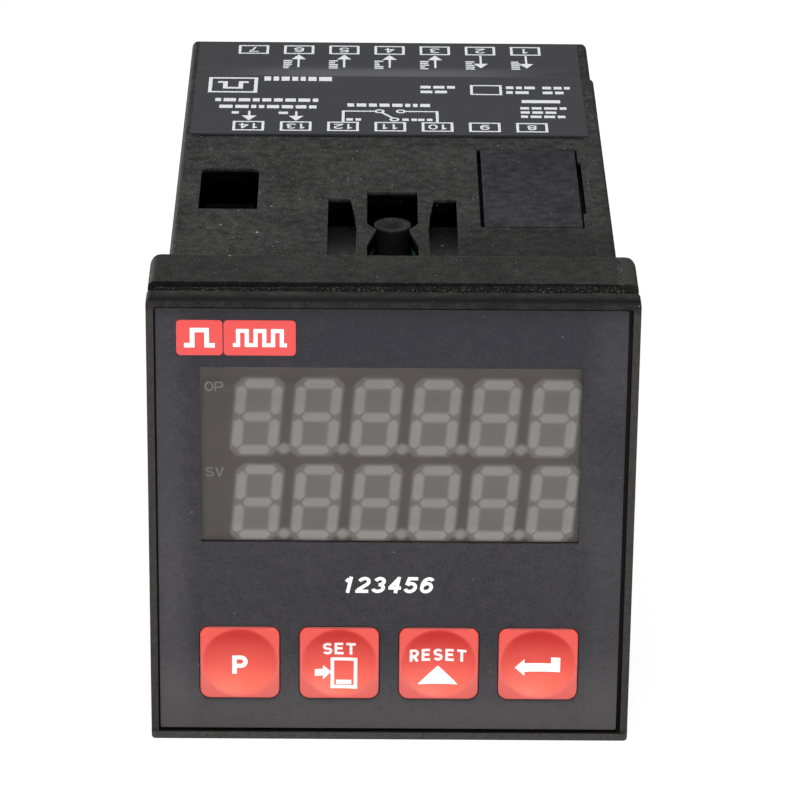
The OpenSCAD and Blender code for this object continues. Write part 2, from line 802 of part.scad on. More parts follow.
// Window for the stud, and the two ramped slots that free the bending arms beside it
module stud_window() polygon([[window_half, window_front_y], [-window_half, window_front_y],
    [-window_half, tooth_front_y], [-tooth_half, tooth_y], [-tooth_half, tooth_y + tooth_land],
    [-window_half, stud_y], [-window_half, window_back_y], [window_half, window_back_y],
    [window_half, stud_y], [tooth_half, tooth_y + tooth_land], [tooth_half, tooth_y],
    [window_half, tooth_front_y]]);
module arm_slot() polygon([[slot_outer, slot_front_y], [slot_outer, slot_back_y],
    [slot_back_half, slot_back_y],
    [slot_mid_half + (slot_back_half - slot_mid_half) / 4, stud_y + stud_d / 2],
    [slot_mid_half, tooth_y], [slot_front_half, slot_front_y]]);
module lock_cuts() top_and_bottom() {
    along_z(body_top - case_wall - over, body_top + over) stud_window();
    for (s = [-1, 1]) scale([s, 1, 1]) intersection() {
        along_z(body_top - case_wall - over, body_top + over) arm_slot();
        along_x(0, slot_outer + over) polygon([[slot_front_y - over, body_top - slot_ramp_depth],
            [slot_ramp_y, body_top - case_wall - thin_air],
            [slot_ramp_y, body_top - case_wall - 2 * over],
            [slot_back_y + over, body_top - case_wall - 2 * over],
            [slot_back_y + over, body_top + 2 * over], [slot_front_y - over, body_top + 2 * over]]);
    }
}
module cover_opening() {
    x0 = cover_x - cover_w / 2 - cover_gap_left;
    x1 = cover_x + cover_w / 2 + cover_gap_right;
    translate([x0, cover_y - cover_len / 2 - cover_gap_front])
        square([x1 - x0, cover_len + cover_gap_front + cover_gap_rear]);
    translate([x1 - thin_air, cover_y - notch_len / 2]) square([notch_w + thin_air, notch_len]);
}
module port_outline() translate([port_x, port_y]) {
    translate([-port_w / 2, -port_len / 2]) square([port_w, port_len - port_r]);
    translate([-port_w / 2 + port_r, -port_len / 2]) square([port_w - 2 * port_r, port_len]);
    for (s = [-1, 1]) translate([s * (port_w / 2 - port_r), port_len / 2 - port_r]) circle(port_r);
}
// Saw teeth sunk in both sides, where a mounting clamp engages from behind
module ratchets() for (s = [-1, 1]) scale([s, 1, 1]) along_z(-ratchet_h / 2, ratchet_h / 2)
    for (i = [0:ratchet_count - 1]) translate([body_w / 2, ratchet_y + i * ratchet_pitch])
        polygon([[over, 0], [-ratchet_depth, 0], [0, ratchet_pitch - ease], [over, ratchet_pitch - ease]]);
// Case: collar with a seal land in front, square tube, guide ribs, locking windows and openings
module case() color(case_grey) {
    difference() {
        union() {
            intersection() {
                along_y(collar_front_y, 0) rounded(bezel_w, bezel_w, collar_r);
                along_z(-bezel_w / 2 - over, bezel_w / 2 + over)
                    round_rear(bezel_w, collar_front_y, 0, collar_rear_r);
            }
            along_y(seal_back_y, collar_front_y + thin_air) rounded(spigot_w, spigot_w, collar_r);
            along_y(-thin_air, case_end_y) rounded(body_w, body_w, body_r);
        }
        along_y(seal_back_y - over, neck_end_y + fit) rounded(pocket_w, pocket_w, neck_r);
        along_y(seal_back_y - over, case_end_y + over) square([cavity_w, cavity_w], center = true);
        lock_cuts();
        along_z(body_top - case_wall - over, body_top + over) port_outline();
        along_z(body_top - cover_t - cover_sink, body_top + over) cover_opening();
        along_z(body_top - case_wall - over, body_top + over) translate([cover_x, cover_y])
            square([cover_w - 2 * cover_ledge, cover_len - 2 * cover_ledge], center = true);
        for (s = [-1, 1], z = hook_zs) translate([s * (body_w - case_wall) / 2,
            case_end_y - hook_from_end, z])
            cube([case_wall + over, hook_d + 2 * ease, hook_w + 2 * ease], center = true);
        ratchets();
    }
    for (s = [-1, 1], t = [-1, 1], z = [board_z - rib_t - ease, board_z + board_t + ease])
        scale([s, 1, t]) box([cavity_w / 2 - rib_h, rib_y, z],
            [cavity_w / 2 + thin_air, long_board_end_y, z + rib_t]);
}
module access_cover() color("#434347") along_z(body_top - cover_sink - cover_t, body_top - cover_sink)
    translate([cover_x, cover_y]) square([cover_w, cover_len], center = true);

// Terminal block: hollow spigot with hooks in front, a floor, and open pockets with barriers behind
module terminal_block() color("#363636") difference() {
    union() {
        intersection() {
            along_y(case_end_y, rear_y) translate([block_x, 0]) rounded(block_w, body_w, block_r);
            along_z(-body_w / 2 - over, body_w / 2 + over) translate([block_x, 0])
                round_rear(block_w, case_end_y, rear_y, block_r);
        }
        along_y(case_end_y - spigot_len, case_end_y + thin_air) square([ring_w, ring_w], center = true);
        for (s = [-1, 1], z = hook_zs) scale([s, 1, 1]) along_z(z - hook_w / 2, z + hook_w / 2)
            polygon([[ring_w / 2 - thin_air, case_end_y - hook_from_end + hook_d / 2],
                [ring_w / 2 + hook_out, case_end_y - hook_from_end + hook_d / 2],
                [ring_w / 2 + hook_out - hook_d / 2, case_end_y - hook_from_end - hook_d / 2],
                [ring_w / 2 - thin_air, case_end_y - hook_from_end - hook_d / 2]]);
    }
    along_y(case_end_y - spigot_len - over, pocket_floor_y - block_floor)
        square([ring_w - 2 * spigot_wall, ring_w - 2 * spigot_wall], center = true);
    both_rows() {
        along_y(pocket_floor_y, rear_y + over) translate([0, pocket_z])
            square([pocket_gap_w, pocket_h], center = true);
        along_y(pocket_floor_y - block_floor - over, pocket_floor_y + over) translate([0, screw_z])
            circle(floor_hole_d / 2);
        along_y(case_end_y - spigot_len - over, pocket_floor_y + over)
            translate([0, board_z + board_t + tail_t / 2])
            square([tail_w + 2 * ease, tail_t + 2 * ease], center = true);
    }
}

// Flat terminal with a tail that runs forward to its board
module terminal_tails() color("silver") both_rows() {
    difference() {
        along_y(pocket_floor_y, pocket_floor_y + tail_t) translate([0, pocket_z])
            square([tail_plate_w, tail_plate_h], center = true);
        along_y(pocket_floor_y - over, pocket_floor_y + tail_t + over) translate([0, screw_z])
            circle(screw_d / 2 + thin_air);
    }
    box([-tail_w / 2, long_board_end_y - tail_overlap, board_z + board_t],
        [tail_w / 2, pocket_floor_y + thin_air, board_z + board_t + tail_t]);
}
clamp_y = pocket_floor_y + tail_t + clamp_gap;
head_y = clamp_y + clamp_t;
module terminal_clamps() color("silver") both_rows()
    along_y(clamp_y, head_y) translate([0, screw_z]) difference() {
        square([tail_plate_w, clamp_h], center = true);
        circle(screw_d / 2 + ease);
    }
module terminal_screws() color("silver") both_rows() at(0, screw_z) difference() {
    union() {
        along_y(head_y, head_y + head_t) circle(screw_head_d / 2);
        along_y(head_y - shank_len, head_y + thin_air) circle(screw_d / 2);
    }
    along_y(head_y + head_t - cross_depth, head_y + head_t + over) for (turn = [0, 90]) rotate(turn)
        square([2 * cross_share * screw_head_d, cross_w], center = true);
}

// Label on top, over the joint of case and block, with plain white print
module rating_label() color(film_grey) along_z(body_top, body_top + label_t)
    translate([label_x - label_w / 2, label_front_y])
    square([label_w, rear_y - label_back_gap - block_r - label_front_y]);
module line_box() difference() {
    square([box_w, box_h], center = true);
    square([box_w - 2 * line_w, box_h - 2 * line_w], center = true);
}
module mark_ring() difference() {
    circle(ring_mark_d / 2);
    circle(ring_mark_d / 2 - line_w);
}
module print_arrow(length) rotate(90) arrow_right(length, line_w, arrow_head_w, arrow_head_len);
// Changeover contact drawn above the middle three terminals of the front row
module contact_mark() {
    for (s = [-1, 1]) scale([s, 1]) {
        translate([contact_half, contact_up]) mark_ring();
        translate([contact_half + ring_mark_d / 2 - line_w / 2, contact_up - line_w / 2])
            square([terminal_pitch - contact_half - ring_mark_d / 2 + line_w, line_w]);
        translate([terminal_pitch - line_w / 2, 0]) square([line_w, contact_up]);
    }
    translate([contact_root_x, contact_root_y]) mark_ring();
    polygon([[contact_root_x - line_w / 2, contact_root_y + ring_mark_d / 2 - line_w / 2],
        [contact_root_x + line_w / 2, contact_root_y + ring_mark_d / 2 - line_w / 2],
        [contact_tip_x + line_w / 2, contact_tip_y], [contact_tip_x - line_w / 2, contact_tip_y]]);
}
module label_print() color(print_white) along_z(body_top + label_t, body_top + label_t + print_t) {
    for (x = terminal_xs) {
        translate([x, rear_boxes_y]) line_box();
        translate([x, front_boxes_y]) line_box();
    }
    for (i = [1:terminal_count - 3])
        translate([terminal_xs[i], rear_boxes_y - box_h / 2 - arrow_len - line_w]) print_arrow(arrow_len);
    for (i = [terminal_count - 2:terminal_count - 1])
        translate([terminal_xs[i], rear_boxes_y - box_h / 2 - line_w]) mirror([0, 1]) print_arrow(arrow_len);
    for (i = [0:terminal_count - 6])
        translate([terminal_xs[i], front_boxes_y + box_h / 2 + short_arrow_len + line_w]) mirror([0, 1])
        print_arrow(short_arrow_len);
    translate([terminal_xs[floor(terminal_count / 2)], front_boxes_y + box_h / 2]) contact_mark();
}

// Long boards in the case's guide ribs
module long_board(s) color("darkgreen") scale([1, 1, s])
    box([-long_board_w / 2, long_board_y, board_z], [long_board_w / 2, long_board_end_y, board_z + board_t]);
module upper_board() long_board(1);
module lower_board() long_board(-1);
// Socket on the upper board under the service port, and coding pins under the access cover
module service_socket() color(void_black) translate([port_x, port_y, 0]) difference() {
    along_z(board_z + board_t, board_z + board_t + socket_h) square([socket_w, socket_len], center = true);
    along_z(board_z + board_t + socket_h / 3, board_z + board_t + socket_h + over)
        square([socket_w - 2 * socket_wall, socket_len - 2 * socket_wall], center = true);
}
module jumper_block() color(void_black) translate([cover_x, cover_y, board_z + board_t]) {
    along_z(0, jumper_h) square([jumper_w, jumper_len], center = true);
    for (i = [-1.5:1.5], s = [-1, 1]) translate([s * jumper_step / 2, i * jumper_step, jumper_h])
        cube([jumper_pin, jumper_pin, 2 * jumper_pin_up], center = true);
}
module header(s) color(void_black) scale([1, 1, s]) difference() {
    box([-header_w / 2, ring_y, board_z - header_h], [header_w / 2, header_end_y, board_z]);
    for (i = [1:header_pins - 1])
        translate([-header_w / 2 + i * header_w / header_pins, ring_y + ring_d / 2, board_z - header_h])
        cube([header_groove, ring_d / 2, header_groove * 2], center = true);
}
module upper_header() header(1);
module lower_header() header(-1);

// Mains transformer: laminated core around a wound coil
transformer_h = 2 * board_z - opto_h - transformer_air;
core_len = transformer_len * core_stack_share;
module transformer_coil() color("goldenrod") translate([0, core_y, transformer_h / 2 - board_z])
    cube([transformer_w * coil_w_share, transformer_len, transformer_h * coil_h_share], center = true);
module transformer_core() color("dimgray") difference() {
    box([-transformer_w / 2, core_y - core_len / 2, -board_z],
        [transformer_w / 2, core_y + core_len / 2, transformer_h - board_z]);
    transformer_coil();
}
module relay() color("#20242c") translate([relay_x, relay_y, 0]) along_z(-board_z, relay_h - board_z)
    rounded(relay_w, relay_len, part_r);
module smoothing_capacitor() color("#202028") translate([capacitor_x, capacitor_y, -board_z]) difference() {
    cylinder(d = capacitor_d, h = capacitor_h);
    translate([0, 0, capacitor_h - sleeve_groove]) cylinder(d = capacitor_d - 4 * sleeve_groove, h = over);
}
module rectifier() color(void_black) translate([rectifier_x, rectifier_y, 0])
    along_z(-board_z, rectifier_h - board_z) rounded(rectifier_w, rectifier_len, part_r);
module varistor() color("royalblue") translate([varistor_x, varistor_y - varistor_t / 2, 0]) {
    along_y(0, varistor_t) translate([0, varistor_d / 2 - board_z]) circle(varistor_d / 2);
    along_y(varistor_t / 3, varistor_t * 2 / 3) translate([0, varistor_d / 4 - board_z])
        square([varistor_d / 2, varistor_d / 2], center = true);
}
module inrush_resistor() color("tan") translate([resistor_x - resistor_len / 2, resistor_y, 0]) {
    along_x(0, resistor_len) translate([0, resistor_d / 2 - board_z]) circle(resistor_d / 2);
    along_x(resistor_len / 8, resistor_len / 4) translate([0, resistor_d / 4 - board_z])
        square([resistor_d / 4, resistor_d / 2], center = true);
    along_x(resistor_len * 3 / 4, resistor_len * 7 / 8) translate([0, resistor_d / 4 - board_z])
        square([resistor_d / 4, resistor_d / 2], center = true);
}

// Chips hang from the upper board's inner face
module chip(w, len, t, sides) {
    along_z(board_z - t, board_z - lead_t / 2) square([w, len], center = true);
    count = floor((len - lead_pitch) / lead_pitch);
    for (i = [0:count - 1], s = [-1, 1]) {
        place = (i - (count - 1) / 2) * lead_pitch;
        translate([s * (w + lead_out) / 2, place, board_z - lead_t / 2])
            cube([lead_out + thin_air, lead_w, lead_t], center = true);
        if (sides == 4) translate([place, s * (len + lead_out) / 2, board_z - lead_t / 2])
            cube([lead_w, lead_out + thin_air, lead_t], center = true);
    }
}
module microcontroller() color(void_black) translate([0, chip_y, 0]) chip(chip_w, chip_w, chip_t, 4);
module crystal() color("silver") translate([crystal_x, chip_y, 0]) along_z(board_z - crystal_h, board_z)
    rounded(crystal_w, crystal_len, crystal_w / 2 - thin_air);
module driver_chip() color(void_black) translate([driver_x, driver_y, 0])
    chip(driver_w, driver_len, driver_t, 2);
module memory_chip() color(void_black) translate([memory_x, memory_y, 0])
    chip(memory_w, memory_len, chip_t, 2);
module opto_couplers() color(void_black) for (i = [1:opto_count]) translate([terminal_xs[i], opto_y, 0])
    along_z(board_z - opto_h, board_z) square([opto_w, opto_len], center = true);

front_frame();
front_seal();
front_film();
film_badge();
display_window();
upper_display();
upper_segments();
lower_display();
lower_segments();
light_guide();
indicator_leds();
display_board();
key_p();
key_set();
key_reset();
key_enter();
legend_p();
legend_set();
legend_reset();
legend_enter();
plunger_p();
plunger_set();
plunger_reset();
plunger_enter();
switch_p();
switch_set();
switch_reset();
switch_enter();
chassis();
case();
access_cover();
terminal_block();
terminal_tails();
terminal_clamps();
terminal_screws();
rating_label();
label_print();
upper_board();
lower_board();
service_socket();
jumper_block();
upper_header();
lower_header();
transformer_core();
transformer_coil();
relay();
smoothing_capacitor();
rectifier();
varistor();
inrush_resistor();
microcontroller();
crystal();
driver_chip();
memory_chip();
opto_couplers();
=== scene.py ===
import bpy
import bmesh
import math
import random
from mathutils import Matrix, Vector, noise


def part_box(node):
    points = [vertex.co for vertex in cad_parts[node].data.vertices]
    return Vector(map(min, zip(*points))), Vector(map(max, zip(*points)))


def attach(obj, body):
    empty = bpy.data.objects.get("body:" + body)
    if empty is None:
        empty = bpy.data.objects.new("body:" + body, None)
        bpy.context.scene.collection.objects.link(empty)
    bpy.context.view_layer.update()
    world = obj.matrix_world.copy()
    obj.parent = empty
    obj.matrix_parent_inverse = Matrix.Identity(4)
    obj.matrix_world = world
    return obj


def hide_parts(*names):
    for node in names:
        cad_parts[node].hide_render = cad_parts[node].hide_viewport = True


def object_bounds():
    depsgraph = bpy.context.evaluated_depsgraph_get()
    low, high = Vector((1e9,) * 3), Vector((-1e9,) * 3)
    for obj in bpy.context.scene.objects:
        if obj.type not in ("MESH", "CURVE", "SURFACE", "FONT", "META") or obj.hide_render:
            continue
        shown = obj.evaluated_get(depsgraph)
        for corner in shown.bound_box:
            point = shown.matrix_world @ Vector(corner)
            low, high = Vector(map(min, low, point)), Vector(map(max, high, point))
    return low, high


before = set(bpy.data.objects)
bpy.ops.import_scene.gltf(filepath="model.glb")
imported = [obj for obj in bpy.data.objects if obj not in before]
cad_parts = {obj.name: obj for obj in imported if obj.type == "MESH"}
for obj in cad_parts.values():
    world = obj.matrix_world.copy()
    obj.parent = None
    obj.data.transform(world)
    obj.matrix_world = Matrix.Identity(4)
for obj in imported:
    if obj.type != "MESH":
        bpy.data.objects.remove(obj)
cad_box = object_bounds()

# The studio: a white sweep under and behind the counter, broad soft lamps above, in front and behind, and
# an even sky. The camera stands where the photographer stood, a little above the front and about 40 cm
# away. The counter lies on its front frame and collar, so the floor is just under them.
mm = 0.001
scene = bpy.context.scene
scene.view_settings.view_transform = "Standard"

yaw, tilt, roll = 0.00953, 0.42159, 0.01057
camera_place = Vector((-3.046, -405.8, 190.338)) * mm
right = Vector((math.cos(-yaw), math.sin(-yaw), 0))
forward = Vector((yaw * math.cos(tilt), math.cos(tilt), -math.sin(tilt))).normalized()
down = forward.cross(right)
across = (math.cos(roll) * right - math.sin(roll) * down).normalized()
below = (math.sin(roll) * right + math.cos(roll) * down).normalized()
camera_data = bpy.data.cameras.new("camera")
camera_data.sensor_width = 36
camera_data.lens = 199.2
camera_data.clip_start = 0.01
camera = bpy.data.objects.new("camera", camera_data)
turn = Matrix((across, -below, -forward)).transposed().to_4x4()
camera.matrix_world = Matrix.Translation(camera_place) @ turn
scene.collection.objects.link(camera)
scene.camera = camera


def soft_lamp(name, place, target, size, watts):
    lamp = bpy.data.lights.new(name, "AREA")
    lamp.shape = "DISK"
    lamp.size = size
    lamp.energy = watts
    holder = bpy.data.objects.new(name, lamp)
    holder.location = place
    holder.rotation_euler = (Vector(target) - Vector(place)).to_track_quat("-Z", "Y").to_euler()
    scene.collection.objects.link(holder)


soft_lamp("lamp_above", (-0.06, -0.28, 0.79), (0, 0, 0), 0.36, 13.0)
soft_lamp("lamp_front", (0.2, -0.92, 0.18), (0, 0, 0), 0.4, 3.0)
soft_lamp("lamp_behind", (-0.5, 0.85, 0.1), (0, 0.03, 0), 0.4, 2.5)


class Value:
    """What a node gives; sums on it add the nodes that work them out."""

    def __init__(self, finish, socket):
        self.finish = finish
        self.socket = socket

    def sum(self, operation, *others):
        return self.finish.node("ShaderNodeMath", {"operation": operation}, self, *others)

    def __add__(self, other):
        return self.sum("ADD", other)

    def __sub__(self, other):
        return self.sum("SUBTRACT", other)

    def __rsub__(self, other):
        return self.finish.node("ShaderNodeMath", {"operation": "SUBTRACT"}, other, self)

    def __mul__(self, other):
        return self.sum("MULTIPLY", other)

    def __truediv__(self, other):
        return self.sum("DIVIDE", other)

    def __abs__(self):
        return self.sum("ABSOLUTE")

    __radd__ = __add__
    __rmul__ = __mul__

    def least(self, other):
        return self.sum("MINIMUM", other)

    def most(self, other):
        return self.sum("MAXIMUM", other)

    def fold(self, length):
        """The distance from the middle of its own stretch, on stretches of this length centred on zero."""
        moved = self + length / 2
        return self.finish.node("ShaderNodeMath", {"operation": "FLOORED_MODULO"}, moved, length) - length / 2

    def rise(self, low, high):
        """0 below low, 1 above high, smooth between; falls instead where low is above high."""
        return self.finish.node("ShaderNodeMapRange", {"interpolation_type": "SMOOTHSTEP"}, self, low, high, 0.0, 1.0)


class Finish:
    """A material with one shader; what varies over the surface is joined to its sockets."""

    def __init__(self, name, color, roughness, **shader):
        self.material = bpy.data.materials.new(name)
        self.material.use_nodes = True
        self.tree = self.material.node_tree
        self.shader = self.tree.nodes["Principled BSDF"]
        self.shader.inputs["Base Color"].default_value = (*color, 1)
        self.shader.inputs["Roughness"].default_value = roughness
        for socket, value in shader.items():
            self.shader.inputs[socket.replace("_", " ")].default_value = value
        self.coordinates = None

    def node(self, kind, settings, *values, out=0, **named):
        made = self.tree.nodes.new(kind)
        for key, value in settings.items():
            setattr(made, key, value)
        for i, value in enumerate(values):
            self.join(value, made.inputs[i])
        for key, value in named.items():
            self.join(value, made.inputs[key.replace("_", " ")])
        return Value(self, made.outputs[out])

    def join(self, value, socket):
        if isinstance(value, Value):
            self.tree.links.new(value.socket, socket)
        elif value is not None:
            socket.default_value = value

    def place(self):
        """Object coordinates in millimetres."""
        if self.coordinates is None:
            metres = self.node("ShaderNodeTexCoord", {}, out=3)
            self.coordinates = self.node("ShaderNodeVectorMath", {"operation": "SCALE"}, metres, Scale=1000.0)
        return self.coordinates

    def axes(self):
        place = self.place()
        return [self.node("ShaderNodeSeparateXYZ", {}, place, out=i) for i in range(3)]

    def grain(self, scale, detail=3.0, rough=0.55):
        return self.node("ShaderNodeTexNoise", {}, Vector=self.place(), Scale=scale, Detail=detail, Roughness=rough)

    def specks(self, scale, radius, share):
        """1 on small round specks, one in some of the cells of a scattered pattern."""
        cells = {"Vector": self.place(), "Scale": scale}
        near = self.node("ShaderNodeTexVoronoi", {}, **cells)
        chance = self.node("ShaderNodeSeparateColor", {}, self.node("ShaderNodeTexVoronoi", {}, out=1, **cells))
        size = self.node("ShaderNodeSeparateColor", {}, self.node("ShaderNodeTexVoronoi", {}, out=1, **cells), out=1)
        return (near / (size + 0.25)).rise(radius, radius * 0.5) * chance.rise(share, share - 0.02)

    def mix(self, factor, low, high):
        made = self.tree.nodes.new("ShaderNodeMix")
        made.data_type = "RGBA"
        for value, socket in zip((factor, low, high), (made.inputs[0], made.inputs[6], made.inputs[7])):
            self.join((*value, 1) if isinstance(value, tuple) else value, socket)
        return Value(self, made.outputs[2])

    def paint(self, color=None, roughness=None, height=None, depth=0.01, edge=0.0, metallic=None):
        """Joins the colour, the roughness, and the relief (a height from 0 to 1 and its depth in mm)."""
        normal = None
        if edge:
            normal = self.node("ShaderNodeBevel", {"samples": 4}, edge * mm)
        if height is not None:
            normal = self.node("ShaderNodeBump", {}, Height=height, Distance=depth * mm, Normal=normal)
        joined = {"Base Color": color, "Roughness": roughness, "Normal": normal, "Metallic": metallic}
        for socket, value in joined.items():
            if value is not None:
                self.join(value, self.shader.inputs[socket])
        return self

    def painted(self, socket):
        """What is joined to a socket so far."""
        return Value(self, self.shader.inputs[socket].links[0].from_socket)


floor_finish = Finish("studio_white", (0.9, 0.9, 0.9), 0.6)
shown = floor_finish.node("ShaderNodeLightPath", {})
glossy = floor_finish.node("ShaderNodeLightPath", {}, out=3)
x, y, z = floor_finish.axes()
# Painted shade: seen in reflections, the floor is painted dark close in front of the counter and white further out;
# bounced light sees it at 0.3 and the camera sees it white.
out_in_front = (y - cad_box[0][1] / mm).rise(-6, -19)
through = floor_finish.node("ShaderNodeLightPath", {}, out=6)
white = floor_finish.node("ShaderNodeEmission", {}, (1, 1, 1, 1), 1.0)
output = floor_finish.tree.nodes["Material Output"]
reflected_with_painted_shade = floor_finish.mix(out_in_front, (0.04, 0.04, 0.04), (1.0, 1.0, 1.0))
bounced = floor_finish.mix(glossy, (0.3, 0.3, 0.3), reflected_with_painted_shade)
floor_finish.paint(color=floor_finish.mix(shown, bounced, (1.0, 1.0, 1.0)))
share = shown.most(through) * 0.93
lit_floor = Value(floor_finish, floor_finish.shader.outputs[0])
mixed = floor_finish.node("ShaderNodeMixShader", {}, share, lit_floor, white)
floor_finish.join(mixed, output.inputs["Surface"])
floor_level = cad_box[0][2] - 0.05 * mm
bpy.ops.mesh.primitive_plane_add(size=6, location=(0, 0, floor_level))
floor = bpy.context.object
floor.name = "floor"
floor.data.materials.append(floor_finish.material)

world = bpy.data.worlds.new("sky")
scene.world = world
world.use_nodes = True
sky = world.node_tree
path = sky.nodes.new("ShaderNodeLightPath")
level = sky.nodes.new("ShaderNodeMapRange")
sky.links.new(path.outputs["Is Camera Ray"], level.inputs["Value"])
level.inputs["To Min"].default_value = 0.24
level.inputs["To Max"].default_value = 1.0
sky.links.new(level.outputs["Result"], sky.nodes["Background"].inputs["Strength"])
sky.nodes["Background"].inputs["Color"].default_value = (1, 1, 1, 1)

# The case: one black moulding with a fine spark-eroded grain. The collar in front seats on the panel, the
# top has the locking window, the service port and the access cover's seat. White dust sticks to it, and
# its sharp edges are slightly broken.
case_black = (0.0172, 0.0172, 0.0169)


def moulded(name, color, roughness, dust=0.05, edge=0.12, grain=0.03, depth_of_holes=None):
    """Matte black plastic: fine grain, cloudy sheen, a scatter of pale dust, and painted shade in its holes, whose
    walls are near black and reflect nothing.
    """
    finish = Finish(name, color, roughness, Specular_IOR_Level=0.1)
    cloud = finish.grain(0.16, 2.0)
    patch = finish.grain(0.9, 3.0)
    fine = finish.grain(5.5, 4.0, 0.7)
    big = finish.specks(0.8, 0.13, dust)
    small = finish.specks(2.4, 0.2, dust * 1.8)
    marks = big.most(small * 0.75)
    darker = tuple(0.35 * c for c in color)
    lighter = tuple(1.9 * c for c in color)
    shade = (cloud - 0.5) * 0.8 + (patch - 0.5) * 1.6 + (fine - 0.5) * 3.8 + 0.42
    body = finish.mix(shade, darker, lighter)
    hole_shade = None
    # Painted shade: below the top surface, except on the ramps, the walls of the holes are painted near black and made
    # metallic so that they reflect nothing.
    if depth_of_holes is not None:
        x, y, z = finish.axes()
        hole_shade = abs(z).rise(depth_of_holes - 0.12, depth_of_holes - 0.5)
        hole_shade = hole_shade * abs(x).rise(depth_of_holes - 0.4, depth_of_holes - 0.6)
        on_ramps = abs(x).rise(3.2, 3.6) * abs(x).rise(8, 7.6) * y.rise(13, 2)
        hole_shade = hole_shade * (1 - on_ramps)
        body = finish.mix(hole_shade, body, (0.002, 0.002, 0.002))
    pale = tuple(min(1, 6 * c + 0.1) for c in color)
    return finish.paint(
        color=finish.mix(marks, body, pale),
        roughness=roughness + (fine - 0.5) * 0.25 + (cloud - 0.5) * 0.12,
        height=fine, depth=grain, edge=edge, metallic=hole_shade)


def dress(node, finish):
    """Gives a CAD node its finish."""
    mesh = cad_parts[node].data
    mesh.materials.clear()
    mesh.materials.append(finish.material)


case_finish = moulded("case_plastic", case_black, 0.6, dust=0.1, depth_of_holes=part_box("rating_label")[0][2] / mm)
x, y, z = case_finish.axes()
plain = case_finish.painted("Base Color")
collar_front = -6.9
# Painted shade: the top of the body darkens towards the right near its front, and the collar is darker; the dust marks
# below are added on top of it.
painted_falloff_shade = x.rise(-18, 12) * y.rise(18, 7) * y.rise(-0.5, 0.5) * 0.5 + y.rise(0.5, -0.5) * 0.45
shade_and_dust = case_finish.mix(painted_falloff_shade, plain, (0.003, 0.003, 0.003))
on_collar = y.rise(0.1, -0.1) * z.rise(20, 21)
shade_and_dust = case_finish.mix(x.rise(22.35, 22.5) * on_collar * 0.8, shade_and_dust, (0.019, 0.019, 0.0155))
coarse = case_finish.grain(5.0, 4.0, 0.8).rise(0.5, 0.7) * on_collar * z.rise(21, 22)
shade_and_dust = case_finish.mix(coarse * 0.55, shade_and_dust, (0.05, 0.05, 0.048))
lint = abs(x - 22.3).rise(0.35, 0.1) * case_finish.grain(2.2, 4.0, 0.7).rise(0.5, 0.68) * on_collar
shade_and_dust = case_finish.mix(lint * 0.8, shade_and_dust, (0.09, 0.09, 0.085))
settled = abs(y).rise(0.16, 0.04) * case_finish.grain(1.4, 4.0, 0.7).rise(0.4, 0.62)
settled = settled * z.rise(20, 21) * abs(x).rise(22.4, 22.2)
shade_and_dust = case_finish.mix(settled * 0.7, shade_and_dust, (0.05, 0.05, 0.048))
label_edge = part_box("rating_label")[0][1] / mm
# Painted shadow: a dark line on the case just in front of the label's front edge.
label_shadow = abs(y - label_edge + 0.2).rise(0.35, 0.12) * abs(x).rise(20.6, 20.4)
shade_and_dust = case_finish.mix(label_shadow * 0.85, shade_and_dust, (0.001, 0.001, 0.001))
# Painted shade: the case ahead of the collar's front, in the gap behind the seal, is painted near black and made
# metallic so that it reflects nothing, like the walls of the holes.
groove_shade = y.rise(collar_front + 0.05, collar_front - 0.1)
painted_hole_shade = case_finish.painted("Metallic")
shade_and_dust = case_finish.mix(groove_shade, shade_and_dust, (0.001, 0.001, 0.001))
case_finish.paint(color=shade_and_dust, metallic=painted_hole_shade.most(groove_shade))
dress("case", case_finish)
cover_finish = moulded("cover_plastic", (0.0150, 0.0147, 0.0172), 0.55, dust=0.02, grain=0.008)
dress("access_cover", cover_finish)
block_finish = moulded("block_plastic", (0.0135, 0.0135, 0.0132), 0.6, dust=0.03)
dress("terminal_block", block_finish)
chassis_finish = moulded("chassis_plastic", (0.011, 0.011, 0.011), 0.6, dust=0.05)
x, y, z = chassis_finish.axes()
stud_y, stud_top = 12.5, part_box("chassis")[1][2] / mm
# Painted shade: around the stud, the chassis below its top is painted near black.
stud_shade = abs(z).rise(stud_top - 0.03, stud_top - 0.3) * abs(x).rise(3.5, 3) * abs(y - stud_y).rise(5, 4)
plain = chassis_finish.painted("Base Color")
chassis_finish.paint(color=chassis_finish.mix(stud_shade * 0.85, plain, (0.0015, 0.0015, 0.0015)))
dress("chassis", chassis_finish)

# The front frame: a black moulding with a narrow rim around the film. Painted light makes the side and bottom
# faces of its rim paler, and painted shade darkens a line around the rim, the walls of the film's recess and the
# top just behind the front.
frame_finish = moulded("frame_plastic", (0.0115, 0.0112, 0.011), 0.55, dust=0.05, edge=0.1)
x, y, z = frame_finish.axes()
front_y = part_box("front_frame")[0][1] / mm
rim_face = y.rise(front_y + 0.3, front_y + 0.1)
# Painted light: the side and bottom faces of the rim are paler, with a speckled grain.
lit_rim_sides = abs(x).rise(23.15, 23.35) * rim_face * abs(z).rise(23.6, 22.4)
lit_rim_bottom = z.rise(-23.15, -23.35) * rim_face
speckled = (frame_finish.grain(2.6, 4.0, 0.75) - 0.5) * 2.2
